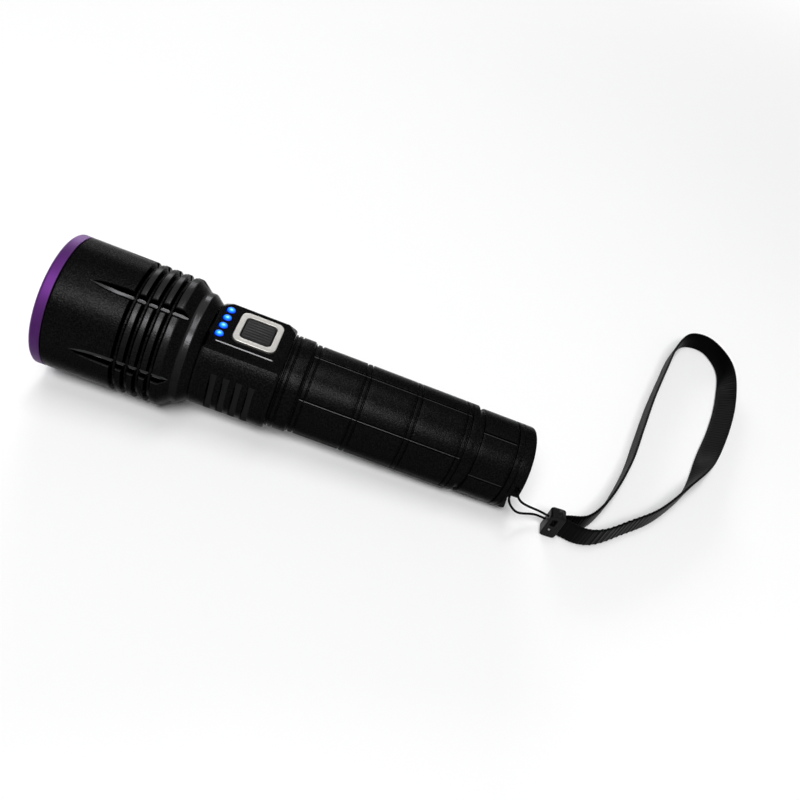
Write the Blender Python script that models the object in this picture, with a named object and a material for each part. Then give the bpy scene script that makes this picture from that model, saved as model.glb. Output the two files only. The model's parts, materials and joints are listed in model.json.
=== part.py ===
"""Handheld ultraviolet curing torch lying on a table, with its wrist strap.

Metres, +Z up. Every torch piece is modelled along the torch's own X axis, lens at X = 0,
tail at high X and switch towards +Z, under one empty that lays the torch down on its head
and its tail rim. The strap, its clip and its string are placed straight on the table.
"""
from math import atan2, cos, pi, radians, sin, sqrt

import bmesh
import bpy
from mathutils import Matrix, Vector

# Fits and facets
GAP = 0.0003
MERGE = 0.000001
OVERCUT = 0.0020
SEGMENTS = 30
SMALL_SEGMENTS = 24
SEAL_SIDES = 6
SHARP_ANGLE = radians(30)

# Bezel, lens and reflector
HEAD_RADIUS = 0.0230
BEZEL_LENGTH = 0.0037
BEZEL_CHAMFER = 0.0007
BEZEL_LIP = 0.0016
LENS_OVERLAP = 0.0009
HEAD_THREAD_WALL = 0.0015
SKIRT_LENGTH = 0.0050
SKIRT_WALL = 0.0010
LENS_THICKNESS = 0.0025
SEAL_WIRE = 0.0005
REFLECTOR_FLANGE = 0.0012
REFLECTOR_DEPTH = 0.0200
REFLECTOR_WALL = 0.0012
REFLECTOR_RIM = 0.0017
REFLECTOR_BASE_RADIUS = 0.0080
REFLECTOR_STEPS = 6
THROAT_RADIUS = 0.0036

# Emitter stack
CENTRING_RING_WALL = 0.0036
CENTRING_RING_THICKNESS = 0.0016
EMITTER_RADIUS = 0.0024
EMITTER_BASE = 0.0011
EMITTER_DOME = 0.0021
EMITTER_DOME_STEPS = 4
EMITTER_BOARD_RADIUS = 0.0100
EMITTER_BOARD_THICKNESS = 0.0016
HEAT_SINK_THICKNESS = 0.0050
WIRE_HOLE_RADIUS = 0.0025

# Head shell
HEAD_WALL = 0.0038
BARREL_LENGTH = 0.0223
RIB_GROOVES = 4
RIB_PITCH = 0.0039
RIB_GROOVE_WIDTH = 0.0021
RIB_GROOVE_DEPTH = 0.0021
RIB_WALL_RUN = 0.0005
LAST_RIB_WIDTH = 0.0022
SHOULDER_LENGTH = 0.0038
NECK_RADIUS = 0.0200
NECK_LENGTH = 0.0020
NECK_TAPER_LENGTH = 0.0031
NECK_END_RADIUS = 0.0175
SLOT_COUNT = 6
SLOT_ANGLE = radians(23)
SLOT_TIP = 0.0090
SLOT_RAMP = 0.0130
SLOT_MID_DEPTH = 0.0014
SLOT_DEPTH = 0.0020
SLOT_SLOPE = 1.15

# Switch section
SWITCH_RADIUS = 0.0180
SWITCH_LENGTH = 0.0266
SWITCH_BORE_RADIUS = 0.0125
NECK_SPIGOT_RADIUS = 0.0140
NECK_SPIGOT_LENGTH = 0.0075
NECK_SPIGOT_BORE = 0.0110
SEAL_GROOVE_DEPTH = 0.0013
TUBE_SPIGOT_RADIUS = 0.0146
TUBE_SPIGOT_LENGTH = 0.0079
PAD_HEIGHT = 0.0167
PAD_HALF_WIDTH = 0.0099
PAD_END_MARGIN = 0.0006
PAD_CORNER = 0.0033
PAD_FLANK_DROP = 0.0037
PAD_FLANK_RUN = 0.0019
PAD_FOOT_CORNER = 0.0006
FIN_COUNT = 4
FIN_PITCH = 0.00434
FIN_WIDTH = 0.0024
FIN_DEPTH = 0.0018
FIN_HALF_HEIGHT = 0.0090
FIN_CENTRE = 0.0132

# Button, frame and indicators
FRAME_SIZE = 0.0149
FRAME_BAR = 0.0020
FRAME_CORNER = 0.0025
FRAME_RISE = 0.0007
FRAME_SINK = 0.0009
BUTTON_CENTRE = 0.01505
BUTTON_RISE = 0.0004
BUTTON_FLANGE = 0.0007
BUTTON_FLANGE_THICKNESS = 0.0010
BUTTON_TRAVEL = 0.0010
BUTTON_CORNER = 0.0014
CORNER_STEPS = 4
LED_COUNT = 4
LED_RADIUS = 0.0014
LED_PITCH = 0.0042
LED_RISE = 0.0002
LED_DEPTH = 0.0020
LED_STATION = 0.0035

# Switch electronics
TACT_SIZE = 0.0060
TACT_HEIGHT = 0.0022
SWITCH_BOARD_LENGTH = 0.0170
SWITCH_BOARD_WIDTH = 0.0120
BOARD_THICKNESS = 0.0012
CARRIER_LENGTH = 0.0215
CARRIER_BORE = 0.0040
CARRIER_SETBACK = 0.0045
DRIVER_BOARD_THICKNESS = 0.0016
FRONT_SPRING_RADIUS = 0.0045
FRONT_SPRING_TAPER = 0.0015
FRONT_SPRING_LENGTH = 0.0041
FRONT_SPRING_TURNS = 2

# Charging port under the switch section
PORT_LENGTH = 0.0089
PORT_WIDTH = 0.0032
PORT_WALL = 0.0005
PORT_CORNER = 0.0012
COVER_LENGTH = 0.0130
COVER_WIDTH = 0.0076
COVER_THICKNESS = 0.0010
COVER_CORNER = 0.0020
COVER_SINK = 0.0003
COVER_END_ROOM = 0.0006
HINGE_INSET = 0.0006

# Battery tube and cell
COLLAR_RADIUS = 0.0168
COLLAR_LENGTH = 0.0072
COLLAR_GROOVES = (0.0009, 0.0026)
TUBE_RADIUS = 0.0162
TUBE_LENGTH = 0.0623
TUBE_BORE_RADIUS = 0.0134
GROOVE_WIDTH = 0.0009
GROOVE_DEPTH = 0.0005
BAND_WIDTH = 0.0019
BAND_PITCH = 0.0189
FLUTE_COUNT = 6
FLUTE_DEPTH = 0.0005
FLUTE_WIDTH = 0.0012
CELL_CLEARANCE = 0.0003
CELL_FRONT = 0.0024
CELL_NUB_RADIUS = 0.0040
CELL_NUB_LENGTH = 0.0012
CELL_EDGE = 0.0006

# Tail cap
TAIL_GAP = 0.0023
TAIL_RADIUS = 0.0157
TAIL_LENGTH = 0.0198
TAIL_EDGE = 0.0008
TAIL_THREAD_LENGTH = 0.0090
TAIL_SEAL_SETBACK = 0.00225
TAIL_BORE_RADIUS = 0.0134
TAIL_GROOVE = 0.0069
TAIL_GROOVE_WIDTH = 0.0008
TAIL_GROOVE_DEPTH = 0.0007
TAIL_LINE = 0.0045
TAIL_LINE_WIDTH = 0.0005
TAIL_LINE_DEPTH = 0.0003
TAIL_FLUTE_ANGLE = radians(77.6)
TAIL_RECESS_RADIUS = 0.0120
TAIL_RECESS_DEPTH = 0.0036
TAIL_PLATE = 0.0017
CONTACT_PLATE_THICKNESS = 0.0016
RETAINER_WALL = 0.0020
RETAINER_THICKNESS = 0.0016
TAIL_SPRING_LENGTH = 0.0092
TAIL_SPRING_RADIUS = 0.0085
TAIL_SPRING_TAPER = 0.0035
TAIL_SPRING_TURNS = 4
SPRING_WIRE = 0.0005
SPRING_POINTS = 10
SPRING_RESOLUTION = 1

# Lanyard hole and notch in the tail rim
NOTCH_START = radians(85)
NOTCH_END = radians(135)
NOTCH_DEPTH = 0.0034
NOTCH_STEPS = 4
LANYARD_ANGLE = radians(73)
LANYARD_HOLE_RADIUS = 0.0011
LANYARD_SETBACK = 0.0020

# Strap, clip and string, on the table
STRAP_WIDTH = 0.0095
STRAP_THICKNESS = 0.0010
STRAP_STEP = 0.0050
STRAP_LEAN = radians(60)
STRING_RADIUS = 0.00045
STRING_STEP = 0.0020
STRING_RESOLUTION = 2
ROUTE_STEPS = 40
CLIP_CENTRE = (0.1030, -0.0120, 0.0062)
CLIP_LENGTH = 0.0058
CLIP_THICKNESS = 0.0046
CLIP_HEIGHT = 0.0120
CLIP_CORNER = 0.0012
CLIP_EYE_LENGTH = 0.0020
CLIP_EYE_HEIGHT = 0.0036
CLIP_EYE_OFFSET = (-0.0007, 0.0023)
RIVET_RADIUS = 0.0006
RIVET_OFFSET = (-0.0007, -0.0019)
RIVET_PROUD = 0.0002

# Stations along the torch axis, from the lens end
HEAD_FRONT = BEZEL_LENGTH + GAP
RIBS_FRONT = HEAD_FRONT + BARREL_LENGTH
RIBS_END = RIBS_FRONT + (RIB_GROOVES - 1) * RIB_PITCH + RIB_GROOVE_WIDTH
CREST_END = RIBS_END + LAST_RIB_WIDTH
SHOULDER_END = CREST_END + SHOULDER_LENGTH
NECK_END = SHOULDER_END + NECK_LENGTH
HEAD_END = NECK_END + NECK_TAPER_LENGTH
SWITCH_FRONT = HEAD_END + GAP
SWITCH_END = SWITCH_FRONT + SWITCH_LENGTH
TUBE_FRONT = SWITCH_END + GAP
COLLAR_END = TUBE_FRONT + COLLAR_LENGTH
TUBE_END = COLLAR_END + TUBE_LENGTH
TAIL_FRONT = TUBE_END + TAIL_GAP
TAIL_END = TAIL_FRONT + TAIL_LENGTH
BUTTON_X = SWITCH_FRONT + BUTTON_CENTRE
BAND_COUNT = 1 + int((TUBE_LENGTH - BAND_WIDTH - 2 * GROOVE_WIDTH) / BAND_PITCH)

# Radii and stations of the optics, which stack behind the bezel lip
SKIRT_RADIUS = HEAD_RADIUS - HEAD_THREAD_WALL - GAP
LENS_RADIUS = SKIRT_RADIUS - SKIRT_WALL - GAP
BEZEL_OPENING = LENS_RADIUS - LENS_OVERLAP
HEAD_BORE = HEAD_RADIUS - HEAD_WALL
SKIRT_END = BEZEL_LENGTH + SKIRT_LENGTH
SEAL_X = BEZEL_LIP + GAP + SEAL_WIRE
LENS_FRONT = SEAL_X + SEAL_WIRE + GAP
LENS_BACK = LENS_FRONT + LENS_THICKNESS
MOUTH_X = LENS_BACK + GAP
MOUTH_RADIUS = LENS_RADIUS - REFLECTOR_RIM
THROAT_X = MOUTH_X + REFLECTOR_DEPTH
CENTRING_FRONT = THROAT_X + GAP
CENTRING_BACK = CENTRING_FRONT + CENTRING_RING_THICKNESS
EMITTER_BOARD_FRONT = CENTRING_BACK + GAP
HEAT_SINK_FRONT = EMITTER_BOARD_FRONT + EMITTER_BOARD_THICKNESS + GAP
HEAT_SINK_END = HEAT_SINK_FRONT + HEAT_SINK_THICKNESS

# Stations of the switch stack and of the cell's contacts
NECK_SPIGOT_FRONT = SWITCH_FRONT - NECK_SPIGOT_LENGTH
TUBE_SPIGOT_END = SWITCH_END + TUBE_SPIGOT_LENGTH
FRAME_FLOOR = PAD_HEIGHT - FRAME_SINK
FRAME_TOP = PAD_HEIGHT + FRAME_RISE
BUTTON_SIZE = FRAME_SIZE - 2 * FRAME_BAR - 2 * GAP
BUTTON_TOP = PAD_HEIGHT + BUTTON_RISE
FLANGE_TOP = FRAME_FLOOR - GAP - GAP
FLANGE_BOTTOM = FLANGE_TOP - BUTTON_FLANGE_THICKNESS
FLANGE_SIZE = BUTTON_SIZE + 2 * GAP + 2 * BUTTON_FLANGE
TACT_TOP = FLANGE_BOTTOM - BUTTON_TRAVEL - GAP
SWITCH_BOARD_TOP = TACT_TOP - TACT_HEIGHT - GAP
CARRIER_TOP = SWITCH_BOARD_TOP - BOARD_THICKNESS - GAP
CARRIER_FRONT = SWITCH_FRONT + CARRIER_SETBACK
CELL_RADIUS = TUBE_BORE_RADIUS - CELL_CLEARANCE
CELL_BODY_FRONT = COLLAR_END + CELL_FRONT
NUB_FRONT = CELL_BODY_FRONT - CELL_NUB_LENGTH
FRONT_SPRING_END = NUB_FRONT - GAP
DRIVER_BACK = FRONT_SPRING_END - FRONT_SPRING_LENGTH - GAP
TAIL_RECESS_FLOOR = TAIL_END - TAIL_RECESS_DEPTH
TAIL_FLOOR = TAIL_RECESS_FLOOR - TAIL_PLATE
TAIL_SPIGOT_FRONT = TUBE_END - TAIL_THREAD_LENGTH
CONTACT_FRONT = TAIL_FLOOR - GAP - CONTACT_PLATE_THICKNESS
CELL_END = CONTACT_FRONT - GAP - TAIL_SPRING_LENGTH - GAP
RETAINER_FRONT = CONTACT_FRONT - GAP - RETAINER_THICKNESS
LANYARD_X = TAIL_END - LANYARD_SETBACK

# The torch lies on the back edge of its head ribs and on its tail rim
FACET = cos(pi / SEGMENTS)
TAIL_REST_X = TAIL_END - TAIL_EDGE
LIE_TILT = atan2((HEAD_RADIUS - TAIL_RADIUS) * FACET, TAIL_REST_X - CREST_END)
LIE_HEIGHT = CREST_END * sin(LIE_TILT) + HEAD_RADIUS * FACET * cos(LIE_TILT)
LIE_FRONT = -(HEAD_RADIUS - BEZEL_CHAMFER) * FACET * sin(LIE_TILT)
LIE_BACK = TAIL_END * cos(LIE_TILT) + (TAIL_RADIUS - TAIL_EDGE) * FACET * sin(LIE_TILT)
LIE_MATRIX = (Matrix.Translation((-(LIE_FRONT + LIE_BACK) / 2, 0, LIE_HEIGHT))
              @ Matrix.Rotation(LIE_TILT, 4, "Y"))

# Route of the strap round its loop: X and Y on the table, and the height of its middle on edge
STRAP_LAYER = 0.0009
STRAP_LOW = STRAP_WIDTH / 2 + GAP
CLIP_BACK = CLIP_CENTRE[0] + CLIP_LENGTH / 2 + GAP
STRAP_ROUTE = (
    (CLIP_BACK, CLIP_CENTRE[1] - STRAP_LAYER, CLIP_CENTRE[2]),
    (0.1140, -0.0138, 0.0058),
    (0.1220, -0.0108, 0.0053),
    (0.1323, -0.0029, STRAP_LOW),
    (0.1475, 0.0101, STRAP_LOW),
    (0.1641, 0.0317, STRAP_LOW),
    (0.1756, 0.0540, STRAP_LOW),
    (0.1856, 0.0785, STRAP_LOW),
    (0.1920, 0.1010, STRAP_LOW),
    (0.1932, 0.1210, STRAP_LOW),
    (0.1860, 0.1345, STRAP_LOW),
    (0.1745, 0.1335, STRAP_LOW),
    (0.1652, 0.1190, STRAP_LOW),
    (0.1570, 0.0970, STRAP_LOW),
    (0.1490, 0.0740, STRAP_LOW),
    (0.1420, 0.0510, STRAP_LOW),
    (0.1352, 0.0290, STRAP_LOW),
    (0.1255, 0.0070, 0.0053),
    (0.1160, -0.0066, 0.0058),
    (CLIP_BACK, CLIP_CENTRE[1] + STRAP_LAYER, CLIP_CENTRE[2]),
)
# Lengths along the strap over which it leans outwards, and over which it stands up again
STRAP_LEANS_OVER = (0.0650, 0.1100)
STRAP_STANDS_UP = (0.1450, 0.1900)

# Route of the string: offsets from the clip's centre, and at the cap the station behind its end,
# the radius and the angle from the switch in degrees
STRING_FACE = -CLIP_LENGTH / 2 - GAP
STRING_LEAVES_CLIP = ((STRING_FACE, -0.0008, 0.0036), (STRING_FACE - 0.0040, -0.0014, 0.0052))
STRING_AT_CAP = (
    (-0.0016, 0.0187, 75),
    (-0.0020, 0.0157, 73),
    (-0.0020, 0.0120, 73),
    (-0.0017, 0.0104, 81),
    (-0.0014, 0.0108, 89),
    (-0.0012, 0.0136, 96),
    (0.0000, 0.0173, 99),
)
STRING_MEETS_CLIP = ((STRING_FACE - 0.0050, -0.0006, 0.0018), (STRING_FACE, 0.0002, 0.0006))


def material(name, colour, roughness, metallic=0.0):
    """A plain Principled material with one colour."""
    finish = bpy.data.materials.new(name)
    finish.use_nodes = True
    shader = finish.node_tree.nodes["Principled BSDF"]
    shader.inputs["Base Color"].default_value = (*colour, 1.0)
    shader.inputs["Roughness"].default_value = roughness
    shader.inputs["Metallic"].default_value = metallic
    return finish


def add_piece(name, bm, finish, parent=None, place=(0, 0, 0)):
    """Turn a closed bmesh into a named object with outward faces."""
    bmesh.ops.recalc_face_normals(bm, faces=bm.faces)
    mesh = bpy.data.meshes.new(name)
    bm.to_mesh(mesh)
    bm.free()
    mesh.shade_smooth()
    mesh.set_sharp_from_angle(angle=SHARP_ANGLE)
    if finish:
        mesh.materials.append(finish)
    piece = bpy.data.objects.new(name, mesh)
    bpy.context.collection.objects.link(piece)
    piece.parent = parent
    piece.location = place
    return piece


def boolean(piece, name, bm, operation="DIFFERENCE"):
    """Cut the piece with, or join it to, the closed shapes in bm."""
    tool = add_piece(name, bm, None, piece.parent, piece.location)
    tool.hide_render = True
    tool.display_type = "WIRE"
    modifier = piece.modifiers.new(name, "BOOLEAN")
    modifier.operation = operation
    modifier.solver = "EXACT"
    modifier.object = tool


def spun(outline, segments=SEGMENTS, closed=True):
    """Spin an outline of (station, radius) points about X, with a flat facet at the bottom."""
    bm = bmesh.new()
    start = Matrix.Rotation(pi / segments, 3, "X")
    corners = [bm.verts.new(start @ Vector((x, 0, radius))) for x, radius in outline]
    edges = [bm.edges.new(pair) for pair in zip(corners, corners[1:])]
    if closed:
        edges.append(bm.edges.new((corners[-1], corners[0])))
    bmesh.ops.spin(bm, geom=corners + edges, cent=(0, 0, 0), axis=(1, 0, 0),
                   angle=2 * pi, steps=segments, use_merge=True)
    bmesh.ops.remove_doubles(bm, verts=bm.verts, dist=MERGE)
    return bm


def loft(bm, rings, closed=False):
    """Join loops of equally many points with quads; the ends are capped, or meet if closed."""
    loops = [[bm.verts.new(point) for point in ring] for ring in rings]
    pairs = list(zip(loops, loops[1:]))
    if closed:
        pairs.append((loops[-1], loops[0]))
    else:
        bm.faces.new(loops[0])
        bm.faces.new(loops[-1])
    for one, two in pairs:
        for index in range(len(one)):
            after = (index + 1) % len(one)
            bm.faces.new((one[index], one[after], two[after], two[index]))
    return bm


def lofted(rings, closed=False):
    """One loft in a mesh of its own."""
    return loft(bmesh.new(), rings, closed)


def box(bm, low, high):
    """A block between two corners."""
    rings = []
    for x in (low[0], high[0]):
        rings.append([Vector((x, low[1], low[2])), Vector((x, high[1], low[2])),
                      Vector((x, high[1], high[2])), Vector((x, low[1], high[2]))])
    return loft(bm, rings)


def rounded(length, width, corner):
    """Outline in X and Y of a rectangle with round corners."""
    points = []
    for turn in range(4):
        across = (length / 2 - corner) * (1 if turn in (0, 3) else -1)
        along = (width / 2 - corner) * (1 if turn in (0, 1) else -1)
        for step in range(CORNER_STEPS + 1):
            angle = (turn + step / CORNER_STEPS) * pi / 2
            points.append((across + corner * cos(angle), along + corner * sin(angle)))
    return points


def level(outline, z, shift=0.0):
    """Lift an X, Y outline to height z, moved along X."""
    return [Vector((x + shift, y, z)) for x, y in outline]


def seal_ring(name, station, radius, finish, torch):
    """A round-section rubber ring."""
    outline = []
    for side in range(SEAL_SIDES):
        angle = 2 * pi * (side + 0.5) / SEAL_SIDES
        outline.append((station + SEAL_WIRE * cos(angle), radius + SEAL_WIRE * sin(angle)))
    return add_piece(name, spun(outline, SMALL_SEGMENTS), finish, torch)


def coil(name, start, length, radius, taper, turns, finish, torch):
    """A conical spring along X, as one tube whose radius shrinks towards its far end."""
    count = turns * SPRING_POINTS
    points = []
    for step in range(count + 1):
        share = step / count
        angle = 2 * pi * turns * share
        swing = radius - taper * share
        x = start + SPRING_WIRE + (length - 2 * SPRING_WIRE) * share
        points.append(Vector((x, swing * sin(angle), swing * cos(angle))))
    least = min((points[near] - points[far]).length
                for near in range(count) for far in range(near + SPRING_POINTS // 2, count + 1))
    print(name, "least gap between turns", round(least - 2 * SPRING_WIRE, 5))
    return tube(name, points, SPRING_WIRE, SPRING_RESOLUTION, finish, torch)


def tube(name, points, radius, resolution, finish, parent=None):
    """A round tube on a poly spline with filled ends."""
    curve = bpy.data.curves.new(name, "CURVE")
    curve.dimensions = "3D"
    curve.bevel_depth = radius
    curve.bevel_resolution = resolution
    curve.use_fill_caps = True
    spline = curve.splines.new("POLY")
    spline.points.add(len(points) - 1)
    for target, point in zip(spline.points, points):
        target.co = (*point, 1.0)
    curve.materials.append(finish)
    piece = bpy.data.objects.new(name, curve)
    bpy.context.collection.objects.link(piece)
    piece.parent = parent
    return piece


def smooth_route(points, step):
    """Even points on the Catmull-Rom curve through the route's own points."""
    knots = [Vector(point) for point in points]
    knots = [2 * knots[0] - knots[1]] + knots + [2 * knots[-1] - knots[-2]]
    dense = []
    for before, one, two, after in zip(knots, knots[1:], knots[2:], knots[3:]):
        for part in range(ROUTE_STEPS):
            t = part / ROUTE_STEPS
            dense.append(0.5 * (2 * one + (two - before) * t
                                + (2 * before - 5 * one + 4 * two - after) * t ** 2
                                + (3 * one - before - 3 * two + after) * t ** 3))
    dense.append(knots[-2])
    lengths = [0.0]
    for one, two in zip(dense, dense[1:]):
        lengths.append(lengths[-1] + (two - one).length)
    count = max(2, round(lengths[-1] / step))
    route = []
    place = 0
    for index in range(count + 1):
        wanted = lengths[-1] * index / count
        while place < len(dense) - 2 and lengths[place + 1] < wanted:
            place += 1
        share = (wanted - lengths[place]) / (lengths[place + 1] - lengths[place])
        route.append(dense[place].lerp(dense[place + 1], min(share, 1.0)))
    return route


def around(x, radius, angle):
    """Point at an angle from the switch, turning towards -Y."""
    return Vector((x, -radius * sin(angle), radius * cos(angle)))


def grooved(start, end, radius, grooves):
    """Outer line from start to end with V grooves, each given by its station, width and depth."""
    line = [(start, radius)]
    for station, width, depth in grooves:
        line += [(station - width / 2, radius), (station, radius - depth), (station + width / 2, radius)]
    return line + [(end, radius)]


def make_optics(torch, finishes):
    """Bezel, lens, reflector and emitter stack, front to back."""
    front = HEAD_RADIUS - BEZEL_CHAMFER
    pocket = LENS_RADIUS + GAP
    add_piece("bezel_ring", spun([
        (0, BEZEL_OPENING), (0, front), (BEZEL_CHAMFER, HEAD_RADIUS), (BEZEL_LENGTH, HEAD_RADIUS),
        (BEZEL_LENGTH, SKIRT_RADIUS), (SKIRT_END, SKIRT_RADIUS), (SKIRT_END, pocket),
        (BEZEL_LIP, pocket), (BEZEL_LIP, BEZEL_OPENING)]), finishes["purple"], torch)
    seal_ring("lens_seal", SEAL_X, LENS_RADIUS - SEAL_WIRE, finishes["rubber"], torch)
    add_piece("lens", spun([(LENS_FRONT, 0), (LENS_FRONT, LENS_RADIUS), (LENS_BACK, LENS_RADIUS),
                            (LENS_BACK, 0)], closed=False), finishes["glass"], torch)

    # The bowl is a parabola through the mouth and the throat
    focal = (MOUTH_RADIUS ** 2 - THROAT_RADIUS ** 2) / REFLECTOR_DEPTH
    vertex = THROAT_X + THROAT_RADIUS ** 2 / focal
    stations = [MOUTH_X + REFLECTOR_DEPTH * step / REFLECTOR_STEPS for step in range(REFLECTOR_STEPS + 1)]
    bowl = [(x, sqrt(focal * (vertex - x))) for x in stations]
    body = HEAD_BORE - GAP
    shell = [(x, min(radius + REFLECTOR_WALL, body)) for x, radius in bowl[1:-1]]
    flange_end = MOUTH_X + REFLECTOR_FLANGE
    outer = [(MOUTH_X, LENS_RADIUS), (flange_end, LENS_RADIUS), (flange_end, body)] + shell
    outer += [(THROAT_X, REFLECTOR_BASE_RADIUS)]
    add_piece("reflector", spun(outer + bowl[::-1]), finishes["mirror"], torch)

    ring_inner = THROAT_RADIUS + GAP
    ring_outer = ring_inner + CENTRING_RING_WALL
    add_piece("emitter_centring_ring", spun([
        (CENTRING_FRONT, ring_inner), (CENTRING_FRONT, ring_outer),
        (CENTRING_BACK, ring_outer), (CENTRING_BACK, ring_inner)], SMALL_SEGMENTS), finishes["white"], torch)
    base = CENTRING_BACK - EMITTER_BASE
    dome = []
    for step in range(EMITTER_DOME_STEPS + 1):
        angle = pi / 2 * step / EMITTER_DOME_STEPS
        dome.append((base - EMITTER_DOME * sin(angle), EMITTER_RADIUS * cos(angle)))
    dome[-1] = (base - EMITTER_DOME, 0)
    add_piece("uv_emitter", spun([(CENTRING_BACK, 0), (CENTRING_BACK, EMITTER_RADIUS)] + dome,
                                 SMALL_SEGMENTS, closed=False), finishes["emitter"], torch)
    board_back = EMITTER_BOARD_FRONT + EMITTER_BOARD_THICKNESS
    add_piece("emitter_board", spun([
        (EMITTER_BOARD_FRONT, 0), (EMITTER_BOARD_FRONT, EMITTER_BOARD_RADIUS),
        (board_back, EMITTER_BOARD_RADIUS), (board_back, 0)], SMALL_SEGMENTS, closed=False),
        finishes["copper"], torch)
    add_piece("heat_sink", spun([
        (HEAT_SINK_FRONT, WIRE_HOLE_RADIUS), (HEAT_SINK_FRONT, body),
        (HEAT_SINK_END, body), (HEAT_SINK_END, WIRE_HOLE_RADIUS)]), finishes["bare_metal"], torch)


def make_head(torch, finishes):
    """Ribbed head shell with its ring of tapered slots."""
    outer = [(HEAD_FRONT, HEAD_RADIUS)]
    for index in range(RIB_GROOVES):
        start = RIBS_FRONT + index * RIB_PITCH
        end = start + RIB_GROOVE_WIDTH
        floor = HEAD_RADIUS - RIB_GROOVE_DEPTH
        outer += [(start, HEAD_RADIUS), (start + RIB_WALL_RUN, floor), (end - RIB_WALL_RUN, floor),
                  (end, HEAD_RADIUS)]
    outer += [(CREST_END, HEAD_RADIUS), (SHOULDER_END, NECK_RADIUS), (NECK_END, NECK_RADIUS),
              (HEAD_END, NECK_END_RADIUS)]
    neck_bore = NECK_SPIGOT_RADIUS + GAP
    bore_end = HEAT_SINK_END + GAP
    thread_bore = SKIRT_RADIUS + GAP
    inner = [(HEAD_END, neck_bore), (bore_end, neck_bore), (bore_end, HEAD_BORE),
             (SKIRT_END + GAP, HEAD_BORE), (SKIRT_END + GAP, thread_bore), (HEAD_FRONT, thread_bore)]
    head = add_piece("head_shell", spun(outer + inner), finishes["black"], torch)

    # Each slot is a V that starts at a point on the barrel, ramps down and runs out of the shoulder
    lip = HEAD_RADIUS + OVERCUT
    floor = HEAD_RADIUS - SLOT_DEPTH
    line = [(HEAD_FRONT + SLOT_TIP, HEAD_RADIUS),
            (HEAD_FRONT + SLOT_TIP + SLOT_RAMP / 2, HEAD_RADIUS - SLOT_MID_DEPTH),
            (HEAD_FRONT + SLOT_TIP + SLOT_RAMP, floor), (SHOULDER_END + OVERCUT, floor)]
    slots = bmesh.new()
    for index in range(SLOT_COUNT):
        turn = Matrix.Rotation(SLOT_ANGLE + 2 * pi * index / SLOT_COUNT, 3, "X")
        rings = []
        for x, apex in line:
            half = (lip - apex) * SLOT_SLOPE
            rings.append([turn @ Vector(point) for point in
                          ((x, 0, apex), (x, half, lip), (x, -half, lip))])
        loft(slots, rings)
    boolean(head, "head_slots", slots)


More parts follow.
